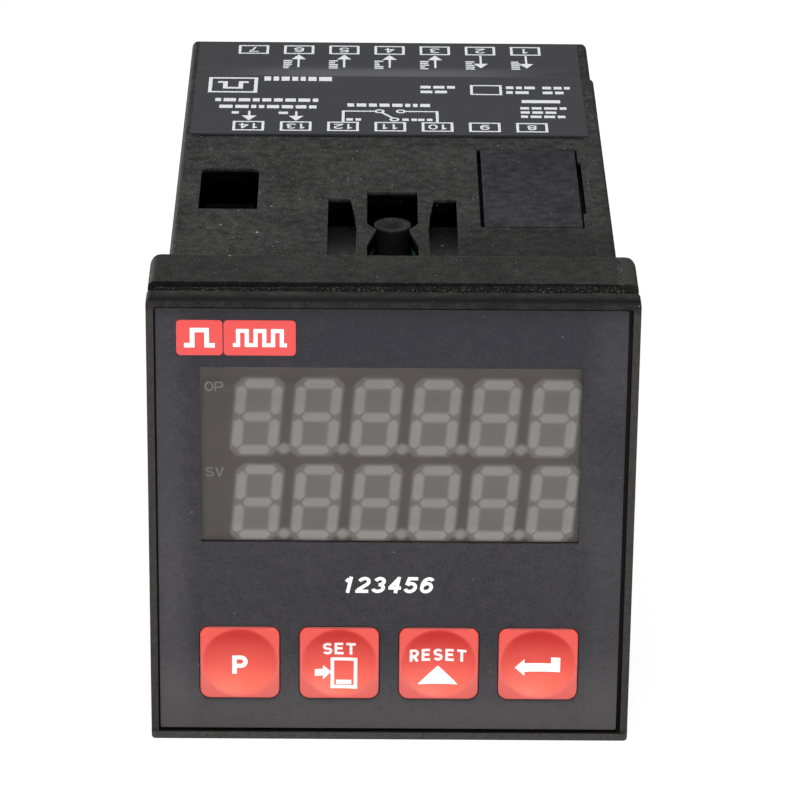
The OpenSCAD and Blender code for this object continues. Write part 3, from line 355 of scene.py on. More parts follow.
# Painted shade: the walls of the film's recess, the top just behind the front and a line around the rim 0.375 mm behind
# the front are darkened.
recess_wall_shade = y.rise(front_y + 0.03, front_y + 0.12) * y.rise(front_y + 1.4, front_y + 1.2)
recess_wall_shade = recess_wall_shade * abs(x).most(abs(z)).rise(23.5, 23.4)
shaded_top = z.rise(23.8, 23.95) * y.rise(front_y + 1.9, front_y + 0.6)
plain = frame_finish.painted("Base Color")
lit_rim = frame_finish.mix(lit_rim_sides * (speckled + 0.8), plain, (0.040, 0.035, 0.032))
lit_rim = frame_finish.mix(lit_rim_bottom * (speckled + 0.85), lit_rim, (0.056, 0.053, 0.050))
rim_line_shade = abs(y - front_y - 0.375).rise(0.17, 0.1)
painted_shade_lines = (shaded_top * 0.85).most(rim_line_shade).most(recess_wall_shade * 0.9)
frame_finish.paint(color=frame_finish.mix(painted_shade_lines, lit_rim, (0.001, 0.001, 0.001)))
dress("front_frame", frame_finish)

# The foam seal: a square ring cut from open-cell foam, squeezed between the frame and the collar. It
# swells out into the groove where the frame is pulled tighter, most of all along the top towards the
# right.
seal_low, seal_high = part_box("front_seal")
seal_front_y, seal_back_y = seal_low[1] / mm, seal_high[1] / mm
seal_half = seal_high[0] / mm


def ring_path(half, radius, steps, corner_steps):
    """Points and outward directions around a square with round corners, as seen from the front."""
    points = []
    for quarter in range(4):
        turned = Matrix.Rotation(quarter * math.pi / 2, 2)
        for i in range(steps):
            along = (i / steps * 2 - 1) * (half - radius)
            points.append((turned @ Vector((-along, half)), turned @ Vector((0, 1))))
        for i in range(corner_steps):
            angle = math.pi / 2 * (1 + i / corner_steps)
            direction = Vector((math.cos(angle), math.sin(angle)))
            corner = Vector((radius - half, half - radius)) + direction * radius
            points.append((turned @ corner, turned @ direction))
    return points


def swell(x, z):
    """How far the foam squeezes back into the groove, in mm."""
    if z < seal_half - 1:
        return 0.35 + 0.2 * noise.noise(Vector((x, z, 0)) * 0.2)
    low = 0.3 + 0.85 * max(0, min(1, (x + 20) / 36))
    return low * max(0.1, min(1, (22.9 - x) / 1.4)) + 0.06 * noise.noise(Vector((x, 0, 3)) * 0.9)


def link(name, mesh):
    made = bpy.data.objects.new(name, mesh)
    scene.collection.objects.link(made)
    return made


def from_bmesh(name, work, smooth=40):
    """Closes a mesh in the making: normals outwards, smooth shading up to the given angle, in metres."""
    bmesh.ops.recalc_face_normals(work, faces=work.faces)
    mesh = bpy.data.meshes.new(name)
    work.to_mesh(mesh)
    work.free()
    mesh.transform(Matrix.Scale(mm, 4))
    for face in mesh.polygons:
        face.use_smooth = True
    mesh.set_sharp_from_angle(angle=math.radians(smooth))
    return link(name, mesh)


work = bmesh.new()
sections = []
for point, outward in ring_path(seal_half, 0.8, 110, 8):
    x, z = point
    rough = 0.05 * noise.noise(Vector((x, z, 0)) * 2.1) + 0.05 * noise.noise(Vector((x, z, 5)) * 5.0)
    rough += 0.18 if outward.y > 0.9 else 0
    back = seal_back_y + swell(x, z)
    profile = [(-1.6, seal_front_y), (-0.12 + rough, seal_front_y), (rough, seal_front_y + 0.15),
               (rough * 1.4 + 0.03, (seal_front_y + back) / 2), (rough - 0.02, back - 0.12), (-0.15, back),
               (-0.42, back - 0.06), (-0.45, seal_back_y), (-1.6, seal_back_y)]
    sections.append([work.verts.new((x + outward.x * out, y, z + outward.y * out)) for out, y in profile])
for a, b in zip(sections, sections[1:] + sections[:1]):
    for i in range(len(a)):
        j = (i + 1) % len(a)
        work.faces.new((a[i], a[j], b[j], b[i]))
seal = from_bmesh("foam_seal", work, 60)
seal_finish = Finish("foam", (0.01, 0.01, 0.01), 0.9, Specular_IOR_Level=0.1)
cells = seal_finish.node("ShaderNodeTexVoronoi", {}, Vector=seal_finish.place(), Scale=5.5)
pores = seal_finish.grain(4.0, 4.0, 0.7)
walls = cells.rise(0.25, 0.6) * pores.rise(0.55, 0.64)
seal_finish.paint(color=seal_finish.mix(walls, (0.0005, 0.0005, 0.0005), (0.065, 0.065, 0.062)),
                  height=cells * pores, depth=0.15)
seal.data.materials.append(seal_finish.material)
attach(seal, "housing")
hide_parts("front_seal")

# The film: printed polyester, dark grey with a fine matte texture, bonded into the frame's recess. The
# badge field at its upper left is red print with white pulse marks on it, and six digits stand above the keys.
film_low, film_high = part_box("front_film")
film_y = film_low[1] / mm
film_centre = (film_low[0] + film_high[0]) / 2 / mm
film_finish = Finish("printed_film", (0.03, 0.03, 0.034), 0.5, Specular_IOR_Level=0.25)
x, y, z = film_finish.axes()
cloud = film_finish.grain(0.07, 2.0)
patch = film_finish.grain(0.8, 3.0)
weave = film_finish.grain(4.5, 3.0, 0.65)
# Painted light: besides the random mottle, the film is lighter towards the bottom and darker towards the top, and
# lighter near its left and right edges for most of their height.
side_light = x.rise(-19, -22) * (z.rise(10, -4) * 0.12 + 0.22) + x.rise(18.5, 21) * (abs(z - 7).rise(2, 9) * 0.24 - 0.06)
mottle_and_light = (weave - 0.5) * 0.75 + (patch - 0.5) * 0.36 + (cloud - 0.5) * 0.3
mottle_and_light = mottle_and_light + z.rise(26, 0) * 0.18 + z.rise(-12, -22) * 0.7 + side_light + 0.05
tone = film_finish.mix(mottle_and_light, (0.006, 0.0055, 0.0105), (0.062, 0.0595, 0.061))
film_finish.paint(
    color=film_finish.mix(film_finish.specks(0.5, 0.07, 0.45) * 0.8, tone, (0.2, 0.2, 0.2)),
    roughness=0.5 + (weave - 0.5) * 0.2, height=weave, depth=0.006, edge=0.05)
dress("front_film", film_finish)


def mottled(name, color, roughness, tones, scale, depth, detail=3.0, edge=0.0, **shader):
    """A finish in two near tones, with a fine relief that goes with them."""
    finish = Finish(name, color, roughness, **shader)
    grain = finish.grain(scale, detail)
    return finish.paint(color=finish.mix(grain, *tones), height=grain, depth=depth, edge=edge)


badge_tones = (0.60, 0.047, 0.042), (0.66, 0.056, 0.050)
dress("film_badge", mottled("badge_red", (0.62, 0.05, 0.045), 0.4, badge_tones, 3.0, 0.004))
white_tones = (0.83, 0.82, 0.81), (0.90, 0.89, 0.88)
white_finish = mottled("white_print", (0.86, 0.85, 0.84), 0.45, white_tones, 9.0, 0.003)


def ribbon(points, width, closed=False, layer=0):
    """A flat line of even width through the points, mitred at its corners; a layer keeps crossing lines apart."""
    made = bmesh.new()
    lift = layer * 0.0015
    points = [a for a, b in zip(points, [None, *points]) if b is None or math.dist(a, b) > 0.001]
    count = len(points)
    edges = []
    for i in range(count):
        here = Vector(points[i])
        ways = []
        if closed or i > 0:
            ways.append((here - Vector(points[i - 1])).normalized())
        if closed or i < count - 1:
            ways.append((Vector(points[(i + 1) % count]) - here).normalized())
        along = sum(ways, Vector((0, 0))).normalized()
        side = Vector((-along.y, along.x))
        reach = side * width / 2 / max(0.5, side.dot(Vector((-ways[0].y, ways[0].x))))
        edges.append((made.verts.new((*(here + reach), lift)), made.verts.new((*(here - reach), lift))))
    for a, b in zip(edges, edges[1:] + edges[:1] if closed else edges[1:]):
        made.faces.new((a[1], b[1], b[0], a[0]))
    return made


def filled(points):
    made = bmesh.new()
    made.faces.new([made.verts.new((x, y, 0)) for x, y in points])
    made.normal_update()
    bmesh.ops.triangulate(made, faces=made.faces)
    return made


def bow(x, y, wide, high, start, end, steps=14):
    """Points on an ellipse, between two angles in degrees."""
    angles = [math.radians(start + (end - start) * i / steps) for i in range(steps + 1)]
    return [(x + wide * math.cos(a), y + high * math.sin(a)) for a in angles]


def letter(sign, w, h, t):
    """The centre lines of one letter or digit in a box w by h, for lines t thick; True marks a closed line."""
    e = t / 2
    q = h / 4
    if sign == "P":
        return [([(0, -e), (0, h), (w - 1.2 * q, h), *bow(w - 1.2 * q, h - 1.2 * q, 1.2 * q, 1.2 * q, 90, -90),
                  (e, h - 2.4 * q)], False)]
    if sign == "R":
        return letter("P", w, h, t) + [([(0.5 * w, h - 2.4 * q - e * 0.5), (w * 0.98, -e)], False)]
    if sign == "E":
        return [([(w + e * 0.6, 0), (0, 0), (0, h), (w + e * 0.4, h)], False), ([(e, h * 0.52), (w, h * 0.52)], False)]
    if sign == "T":
        return [([(-e, h), (w + e, h)], False), ([(w / 2, -e), (w / 2, h - e)], False)]
    if sign == "S":
        return [(bow(w / 2, h - q, w / 2, q, 22, 268) + bow(w / 2, q, w / 2, q, 88, -158), False)]
    if sign in "O0":
        return [(bow(w / 2, h / 2, w / 2, h / 2, 0, 345, 23), True)]
    if sign == "V":
        return [([(0, h + e), (w / 2 - e * 0.25, -e)], False), ([(w, h + e), (w / 2 + e * 0.25, -e)], False)]
    if sign == "1":
        return [([(0.62 * w, -e), (0.62 * w, h + e)], False), ([(0.62 * w - e, h * 0.96), (0.08 * w, h * 0.74)], False)]
    if sign == "2":
        return [(bow(w / 2, h - 1.1 * q, w / 2, 1.1 * q, 168, -38) + [(0.03 * w, 0.1 * h)], False),
                ([(-e, 0), (w + e, 0)], False)]
    if sign == "3":
        return [(bow(0.46 * w, h - 0.97 * q, 0.46 * w, 0.97 * q, 165, -95), False),
                (bow(0.46 * w, 1.03 * q, 0.54 * w, 1.03 * q, 95, -165), False)]
    if sign == "4":
        return [([(0.72 * w, -e), (0.72 * w, h + e)], False), ([(0.70 * w, h), (0.02 * w, 0.3 * h)], False),
                ([(-e * 0.8, 0.27 * h), (w + e, 0.27 * h)], False)]
    if sign == "5":
        return [([(w + e * 0.4, h), (0.14 * w, h), (0.03 * w, 0.5 * h)], False),
                (bow(0.47 * w, 1.25 * q, 0.53 * w, 1.25 * q, 140, -160), False)]
    if sign == "6":
        return [(bow(w / 2, 1.25 * q, w / 2, 1.25 * q, 0, 345, 23), True),
                ([(0, 1.25 * q)] + bow(0.58 * w, 2.1 * q, 0.58 * w, h - 2.1 * q, 180, 42), False)]
    if sign == "7":
        return [([(-e, h), (w + e, h)], False), ([(w * 0.98, h - e), (0.55 * w, 0.5 * h), (0.32 * w, -e)], False)]
    if sign == "8":
        return [(bow(w / 2, h - 0.94 * q, 0.45 * w, 0.94 * q, 0, 345, 23), True),
                (bow(w / 2, 1.06 * q, w / 2, 1.06 * q, 0, 345, 23), True)]
    return [([(w - x, h - y) for x, y in line], closed) for line, closed in letter("6", w, h, t)]


def words(text, height, line=0.19, wide=0.74, gap=0.16, slant=0.0):
    """Flat lettering of plain even strokes, centred; line, wide and gap are shares of the height."""
    t = line * height
    w, h = wide * height - t, height - t
    made = bmesh.new()
    x = 0
    for sign in text:
        narrow = 0.78 if sign == "1" else 1
        for layer, (points, closed) in enumerate(letter(sign, w * narrow, h, t)):
            points = [(x + px + slant * py, py) for px, py in points]
            lay(made, ribbon(points, t, closed, layer), lambda u, v: Vector((u, v, 0)), Vector((0, 0, 1)))
        x += w * narrow + t + gap * height
    xs = [v.co.x for v in made.verts]
    for v in made.verts:
        v.co.x -= (max(xs) + min(xs)) / 2
        v.co.y -= h / 2
    return made


def lay(target, drawing, place, toward):
    """Puts a flat drawing on a surface: place gives the point for its x and y, toward is the way it faces."""
    copies = {v: target.verts.new(place(v.co.x, v.co.y) + toward * v.co.z) for v in drawing.verts}
    for face in drawing.faces:
        target.faces.new([copies[v] for v in face.verts])
    drawing.free()


def thicken(piece, depth):
    solid = piece.modifiers.new("print", "SOLIDIFY")
    solid.thickness = depth * mm
    solid.offset = -1
    with bpy.context.temp_override(object=piece, active_object=piece):
        bpy.ops.object.modifier_apply(modifier="print")


def printed(name, work, finish, toward, depth=0.02):
    """A flat print as a thin closed sheet, its printed side facing the given way."""
    work.normal_update()
    for face in work.faces:
        if face.normal.dot(toward) < 0:
            face.normal_flip()
    mesh = bpy.data.meshes.new(name)
    work.to_mesh(mesh)
    work.free()
    mesh.transform(Matrix.Scale(mm, 4))
    piece = link(name, mesh)
    thicken(piece, depth)
    piece.data.materials.append(finish.material)
    return piece


badge_low, badge_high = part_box("film_badge")
work = bmesh.new()
to_front = Vector((0, -1, 0))


def facing_front(y, cx, cz):
    return lambda u, v: Vector((cx + u, y, cz + v))


badge_y = badge_low[1] / mm - 0.02
badge_left = badge_low[0] / mm
badge_middle = (badge_low[2] + badge_high[2]) / 2 / mm
pulse = [(-1.5, -0.8), (-0.7, -0.8), (-0.7, 0.8), (0.7, 0.8), (0.7, -0.8), (1.5, -0.8)]
lay(work, ribbon(pulse, 0.46), facing_front(badge_y, badge_left + 2.25, badge_middle), to_front)
train = [(-2.6, -0.75)]
for i in range(3):
    x = -2.1 + i * 1.7
    train += [(x, -0.75), (x, 0.75), (x + 0.85, 0.75), (x + 0.85, -0.75)]
train.append((2.65, -0.75))
lay(work, ribbon(train, 0.4), facing_front(badge_y, badge_left + 8.1, badge_middle), to_front)
digits = words("123456", 1.78, line=0.2, wide=0.72, gap=0.17, slant=0.22)
lay(work, digits, facing_front(film_y - 0.015, film_centre, -6.8), to_front)
marks = printed("film_print", work, white_finish, to_front)
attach(marks, "housing")

# The display: two rows of six digits in pale modules, each digit on its own chamfered pad, behind a
# smoked window in the film. A thin diffuser sheet lies over both modules, so that the joint between
# them doesn't show, and blurs the edges of the segments.
display_low, display_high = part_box("upper_display")
window_low, window_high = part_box("display_window")
pitch, row_step, lean = 5.835, 9.28, math.tan(math.radians(5))
digit_high, digit_wide, bar = 8.08, 4.5, 1.0
rows_x = (display_low[0] + display_high[0]) / 2 / mm + 0.09
rows_z = (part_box("lower_display")[0][2] + display_high[2]) / 2 / mm - 0.4


def display_face(name, roughness):
    """Pads and segments worked out from the place on the face, with soft borders, and painted light that brightens it
    towards the top and bottom of the window and near its ends.
    """
    finish = Finish(name, (0.2, 0.19, 0.18), roughness)
    x, y, z = finish.axes()
    up = (z - (rows_z + row_step / 2)).fold(row_step)
    slanted = x - rows_x - up * lean
    across = (slanted - pitch / 2).fold(pitch)
    side, level = abs(across), abs(up)
    bar_x, bar_z = (digit_wide - bar) / 2, (digit_high - bar) / 2
    flat_half, tall_half = bar_x - 0.28, bar_z / 2 - 0.2

    def bar_edge(away, along, half):
        return (away - bar / 2).most(away * 0.7 + along - half)

    outer = bar_edge(abs(level - bar_z), side, flat_half + 0.12)
    middle = bar_edge(level, side, flat_half)
    tall = bar_edge(abs(side - bar_x), abs(level - bar_z / 2), tall_half)
    point_x = abs(slanted.fold(pitch))
    point_z = up + bar_z - 0.12
    point = (point_x * point_x + point_z * point_z).sum("SQRT") - 0.55
    pad = (side - digit_wide / 2 - 0.13).most(level - digit_high / 2 - 0.15).most(
        (side + level - (digit_wide + digit_high) / 2 + 0.4) * 0.7071)
    in_rows = abs(z - rows_z).rise(row_step, row_step - 0.1)
    in_digits = abs(slanted).rise(3 * pitch + 0.1, 3 * pitch) * in_rows
    in_points = abs(slanted).rise(2.6 * pitch, 2.5 * pitch) * in_rows
    segment = outer.least(middle).least(tall)
    lit = (segment.rise(0.18, -0.2) * in_digits).most(point.rise(0.28, -0.28) * in_points * 0.8)
    halo = (segment.rise(0.9, -0.1) * in_digits).most(point.rise(0.7, -0.1) * in_points)
    rough = finish.grain(2.2, 4.0, 0.65)
    base = finish.mix(pad.rise(0.22, -0.15) * in_digits, (0.146, 0.128, 0.116), (0.305, 0.283, 0.266))
    base = finish.mix(halo * 0.12, base, (0.46, 0.44, 0.42))
    milk = finish.mix(rough, (0.52, 0.50, 0.475), (0.64, 0.62, 0.59))
    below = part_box("lower_display")[0][2] / mm
    # Painted light: the colour is scaled up near the top and bottom of the window and near its ends, where the frame
    # shades the face.
    painted_light_gain = z.rise(display_high[2] / mm - 3.2, display_high[2] / mm) * 0.85 + z.rise(below + 2.2, below) * 0.45 + 1.0
    painted_light_gain = painted_light_gain + abs(x).rise(17.2, 18.8) * 0.22
    face_with_painted_light = finish.node("ShaderNodeVectorMath", {"operation": "SCALE"}, finish.mix(lit, base, milk), Scale=painted_light_gain)
    return finish.paint(color=face_with_painted_light, height=rough, depth=0.005)


face_finish = display_face("display_face", 0.5)
for node in ("upper_display", "lower_display", "upper_segments", "lower_segments"):
    dress(node, face_finish)
guide_tones = (0.17, 0.158, 0.152), (0.20, 0.186, 0.178)
dress("light_guide", mottled("light_guide_plastic", (0.185, 0.172, 0.165), 0.5, guide_tones, 2.2, 0.005, detail=4.0))
lens_tones = (0.30, 0.26, 0.10), (0.40, 0.34, 0.14)
dress("indicator_leds", mottled("lamp_lens", (0.35, 0.30, 0.12), 0.2, lens_tones, 2.0, 0.01, Coat_Weight=0.3))

window_finish = Finish("smoked_window", (0.022, 0.019, 0.018), 0.34, Alpha=0.26, IOR=1.49, Specular_IOR_Level=0.2)
smear = window_finish.grain(0.25, 3.0)
speckle = window_finish.grain(4.5, 3.0)
tint = window_finish.mix(smear * 0.5 + speckle * 0.5, (0.018, 0.015, 0.014), (0.027, 0.024, 0.023))
window_finish.paint(color=tint, roughness=0.3 + smear * 0.14, height=window_finish.grain(1.3, 2.0), depth=0.004)
dress("display_window", window_finish)

sheet_y = (window_high[1] + display_low[1]) / 2 / mm
sheet = bmesh.new()
corners = [((window_low[0], window_low[2]), 180), ((window_high[0], window_low[2]), 270),
           ((window_high[0], window_high[2]), 0), ((window_low[0], window_high[2]), 90)]
outline = []
for (x, z), start in corners:
    x, z = x / mm + (0.9 if x < 0 else -0.9), z / mm + (0.9 if z == window_low[2] else -0.9)
    for i in range(7):
        angle = math.radians(start + 15 * i)
        outline.append((x + 0.6 * math.cos(angle), z + 0.6 * math.sin(angle)))
lay(sheet, filled(outline), lambda u, v: Vector((u, sheet_y - 0.01, v)), to_front)
diffuser = printed("display_diffuser", sheet, face_finish, to_front, 0.02)
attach(diffuser, "housing")
row_marks = bmesh.new()
window_y = window_low[1] / mm
for text, x, z in (("OP", -17.45, 14.72), ("SV", -17.45, 5.52)):
    lay(row_marks, words(text, 1.02, line=0.13, wide=0.82, gap=0.12), facing_front(window_y - 0.012, x, z), to_front)
faint_tones = (0.09, 0.086, 0.083), (0.13, 0.125, 0.12)
row_finish = mottled("faint_print", (0.15, 0.145, 0.14), 0.5, faint_tones, 4.0, 0.002)
row_print = printed("row_marks", row_marks, row_finish, to_front, 0.01)
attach(row_print, "housing")

# The keys: four caps of light red plastic with a shallow round dish and a white legend printed in it.
# Each one slides in the frame's opening, kept in by a flange behind the plate, and presses the plunger
# of its switch.
key_names = ("p", "set", "reset", "enter")
key_half, key_round, dish_half, dish_deep = 3.985, 1.0, 3.71, 0.5
dish_curve = (dish_half ** 2 + dish_deep ** 2) / (2 * dish_deep)
key_boxes = [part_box("key_" + name) for name in key_names]
key_centres = [((a[0] + b[0]) / 2 / mm, (a[2] + b[2]) / 2 / mm) for a, b in key_boxes]
key_front = key_boxes[0][0][1] / mm
key_back = key_boxes[0][1][1] / mm
flange_half = (key_boxes[0][1][0] - key_boxes[0][0][0]) / 2 / mm
flange_front = key_back - 0.8


def square_reach(angle, half, radius):
    """The distance from the middle to the outline of a square with round corners."""
    c, s = abs(math.cos(angle)), abs(math.sin(angle))
    straight = half / max(c, s)
    if min(c, s) * straight <= half - radius:
        return straight
    k = half - radius
    b = (c + s) * k
    return b + math.sqrt(max(0, b * b - 2 * k * k + radius * radius))


def dish(x, z):
    """The height of the key's face behind its front plane, with a softened rim."""
    r = math.hypot(x, z)
    bowl = dish_deep - (dish_curve - math.sqrt(max(0, dish_curve ** 2 - r * r)))
    return 0.5 * (bowl + math.sqrt(bowl * bowl + 0.035 ** 2))


def key_cap(name, centre):
    work = bmesh.new()
    count = 128
    rings = []
    edge = 0.11
    shares = [i / 40 for i in range(1, 41)]
    for share in shares:
        ring = []
        for k in range(count):
            angle = 2 * math.pi * k / count
            reach = square_reach(angle, key_half, key_round)
            r = (reach - edge) * share
            x, z = r * math.cos(angle), r * math.sin(angle)
            ring.append((x, key_front + dish(x, z), z))
        rings.append(ring)
    for step in range(1, 6):
        t = step / 5 * math.pi / 2
        rings.append([])
        for k in range(count):
            angle = 2 * math.pi * k / count
            reach = square_reach(angle, key_half, key_round) - edge + edge * math.sin(t)
            y = key_front + edge * (1 - math.cos(t))
            rings[-1].append((reach * math.cos(angle), y, reach * math.sin(angle)))
    outline = [(key_half, flange_front), (flange_half, flange_front), (flange_half, key_back),
               (0.6 * flange_half, key_back)]
    for half, y in outline:
        rings.append([])
        for k in range(count):
            angle = 2 * math.pi * k / count
            reach = square_reach(angle, half, key_round)
            rings[-1].append((reach * math.cos(angle), y, reach * math.sin(angle)))
    rows = [[work.verts.new((centre[0] + x, y, centre[1] + z)) for x, y, z in ring] for ring in rings]
    first = work.verts.new((centre[0], key_front + dish(0, 0), centre[1]))
    last = work.verts.new((centre[0], key_back, centre[1]))
    for k in range(count):
        j = (k + 1) % count
        work.faces.new((first, rows[0][k], rows[0][j]))
        work.faces.new((last, rows[-1][j], rows[-1][k]))
        for a, b in zip(rows, rows[1:]):
            work.faces.new((a[k], b[k], b[j], a[j]))
    return from_bmesh(name, work, 50)


key_finish = Finish("key_red", (0.63, 0.042, 0.025), 0.4, Specular_IOR_Level=0.7)
skin = key_finish.grain(6.0, 3.0)
pale = key_finish.grain(0.5, 2.0)
x, y, z = key_finish.axes()
aside = (x - key_centres[0][0]).fold(key_centres[1][0] - key_centres[0][0])
height = z - key_centres[0][1]
above = height - 0.1
in_dish = (aside * aside + above * above).sum("SQRT").rise(dish_half + 0.1, dish_half - 0.02)
red = key_finish.mix(pale * 0.6 + skin * 0.4, (0.60, 0.039, 0.023), (0.66, 0.046, 0.028))
# Painted shade and light: the upper part of each dish is painted deep red as shade, less on the keys to the left, its
# lower part paler as light, the flat corners paler towards the bottom, and the rim and the top edge darker as shade;
# the rim is rougher too.
shadow = in_dish * height.rise(0.5, 3.5) * (x.rise(-15, 5) * 0.25 + 0.75)
red = key_finish.mix(shadow, red, (0.60, 0.005, 0.001))
red = key_finish.mix(in_dish * height.rise(0.6, -3.2), red, (0.65, 0.083, 0.046))
red = key_finish.mix((1 - in_dish) * height.rise(3.2, -1.0), red, (0.61, 0.092, 0.077))
rim_shade = abs(aside).most(abs(height)).rise(key_half - 0.14, key_half - 0.06)
red = key_finish.mix(rim_shade * 0.55, red, (0.40, 0.055, 0.05))
top_edge_shade = height.rise(key_half - 0.16, key_half - 0.04) * 0.9
key_finish.paint(color=key_finish.mix(top_edge_shade, red, (0.16, 0.015, 0.012)),
                 roughness=0.36 + (skin - 0.5) * 0.2 + rim_shade * 0.4, height=skin, depth=0.003)


def cut_grid(work, step, reach):
    """Cuts flat faces along a grid, so that they can follow a curved face."""
    for axis in (Vector((1, 0, 0)), Vector((0, 1, 0))):
        at = -reach
        while at < reach:
            geometry = work.verts[:] + work.edges[:] + work.faces[:]
            bmesh.ops.bisect_plane(work, geom=geometry, plane_co=axis * at, plane_no=axis)
            at += step


def gather(*parts):
    """One flat drawing from several, each with its middle's place."""
    whole = bmesh.new()
    for made, cx, cy in parts:
        lay(whole, made, lambda u, v: Vector((cx + u, cy + v, 0)), Vector((0, 0, 1)))
    return whole


def key_legend(name):
    if name == "p":
        return gather((words("P", 2.02, line=0.225, wide=0.77), 0.0, -0.44))
    if name == "set":
        box = [(-0.69, -2.73), (1.64, -2.73), (1.64, 0.25), (-0.69, 0.25)]
        arrow = [(-2.45, -1.53), (-1.63, -1.53), (-1.63, -1.95), (-0.8, -1.17), (-1.63, -0.4), (-1.63, -0.82),
                 (-2.45, -0.82)]
        return gather((words("SET", 1.36, line=0.2, wide=0.7, gap=0.16), 0, 1.46),
                      (ribbon(box, 0.34, closed=True), 0, 0),
                      (filled([(-0.31, -2.45), (1.22, -2.45), (1.22, -2.03), (-0.31, -2.03)]), 0, 0),
                      (filled(arrow), 0, 0))
    if name == "reset":
        return gather((words("RESET", 1.38, line=0.2, wide=0.667, gap=0.195), -0.06, 0.81),
                      (filled([(-2.08, -2.38), (1.95, -2.38), (-0.05, -0.44)]), 0, 0))
    return gather((filled([(-2.31, -0.52), (-1.33, -1.47), (-1.33, -1.04), (2.24, -1.0), (2.26, 0.6), (1.33, 0.6),
                           (1.33, -0.1), (-1.33, -0.1), (-1.33, 0.37)]), 0, 0))


for name, centre in zip(key_names, key_centres):
    cap = key_cap("cap_" + name, centre)
    cap.data.materials.append(key_finish.material)
    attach(cap, name + "_key")
    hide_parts("key_" + name)
    drawing = key_legend(name)
    drawing.normal_update()
    bmesh.ops.triangulate(drawing, faces=drawing.faces)
    cut_grid(drawing, 0.45, 3.2)
    work = bmesh.new()
    lay(work, drawing, lambda u, v: Vector((centre[0] + u, key_front + dish(u, v) - 0.012, centre[1] + v)), to_front)
    legend = printed("print_" + name, work, white_finish, to_front)
    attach(legend, name + "_key")
    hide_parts("legend_" + name)

ivory_tones = (0.70, 0.67, 0.56), (0.80, 0.77, 0.68)
plunger_finish = mottled("ivory_plastic", (0.75, 0.72, 0.62), 0.4, ivory_tones, 5.0, 0.005, edge=0.05)
component_finish = moulded("black_component", (0.014, 0.014, 0.015), 0.42, dust=0.02, edge=0.05, grain=0.006)
for name in key_names:
    dress("plunger_" + name, plunger_finish)
    dress("switch_" + name, component_finish)

# The rating label: grey polyester foil stuck on the top, across the joint of the case and the terminal
# block, with white print. It lifts slightly over the joint, and a pale band there is a painted highlight.
label_low, label_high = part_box("rating_label")
label_top = label_high[2] / mm
label_bottom = label_low[2] / mm
joint_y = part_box("case")[1][1] / mm


def label_rise(x, y):
    """How far the foil stands above its flat height, in mm."""
    band = math.exp(-((y - joint_y - 1.6) / 1.0) ** 2)
    crease = math.exp(-((y - joint_y - 0.3) / 0.25) ** 2)
    wave = noise.noise(Vector((x * 0.09, y * 0.14, 2)))
    return 0.05 * band - 0.03 * crease + 0.02 * wave


work = bmesh.new()
columns, rows = 90, 120
sheet = []
for j in range(rows + 1):
    y = (label_low[1] + (label_high[1] - label_low[1]) * j / rows) / mm
    for i in range(columns + 1):
        x = (label_low[0] + (label_high[0] - label_low[0]) * i / columns) / mm
        sheet.append(work.verts.new((x, y, label_top - 0.07 + label_rise(x, y))))
for j in range(rows):
    for i in range(columns):
        a = j * (columns + 1) + i
        work.faces.new((sheet[a], sheet[a + 1], sheet[a + columns + 2], sheet[a + columns + 1]))
rim = [e for e in work.edges if e.is_boundary]
lowered = bmesh.ops.extrude_edge_only(work, edges=rim)["geom"]
for v in [g for g in lowered if isinstance(g, bmesh.types.BMVert)]:
    v.co.z = label_bottom
bmesh.ops.contextual_create(work, geom=[e for e in work.edges if e.is_boundary])
label = from_bmesh("foil_label", work, 40)
label_finish = Finish("label_foil", (0.019, 0.0188, 0.0208), 0.36)
sheen = label_finish.grain(0.1, 2.0)
fibre = label_finish.grain(2.5, 3.0)
scuff = label_finish.specks(1.6, 0.08, 0.08)
x, y, z = label_finish.axes()
# Painted highlight: a pale band across the foil just behind the joint, fading towards the sides.
band_highlight = (y - joint_y).rise(-0.35, 0.25) * (y - joint_y).rise(3.3, 0.8) * abs(x + 1).rise(22, 5)
foil = label_finish.mix(sheen, (0.0138, 0.0136, 0.0155), (0.0172, 0.017, 0.019))
foil = label_finish.mix(band_highlight, foil, (0.050, 0.050, 0.0535))
label_finish.paint(
    color=label_finish.mix(scuff * 0.5, foil, (0.14, 0.14, 0.14)),
    roughness=0.34 + (fibre - 0.5) * 0.2, height=fibre, depth=0.004)
label.data.materials.append(label_finish.material)
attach(label, "housing")
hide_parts("rating_label")

terminals, terminal_step, terminals_x = 7, 5.08, -0.15
rear_row_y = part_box("terminal_block")[1][1] / mm - 3.05
front_row_y = label_low[1] / mm + 2.35


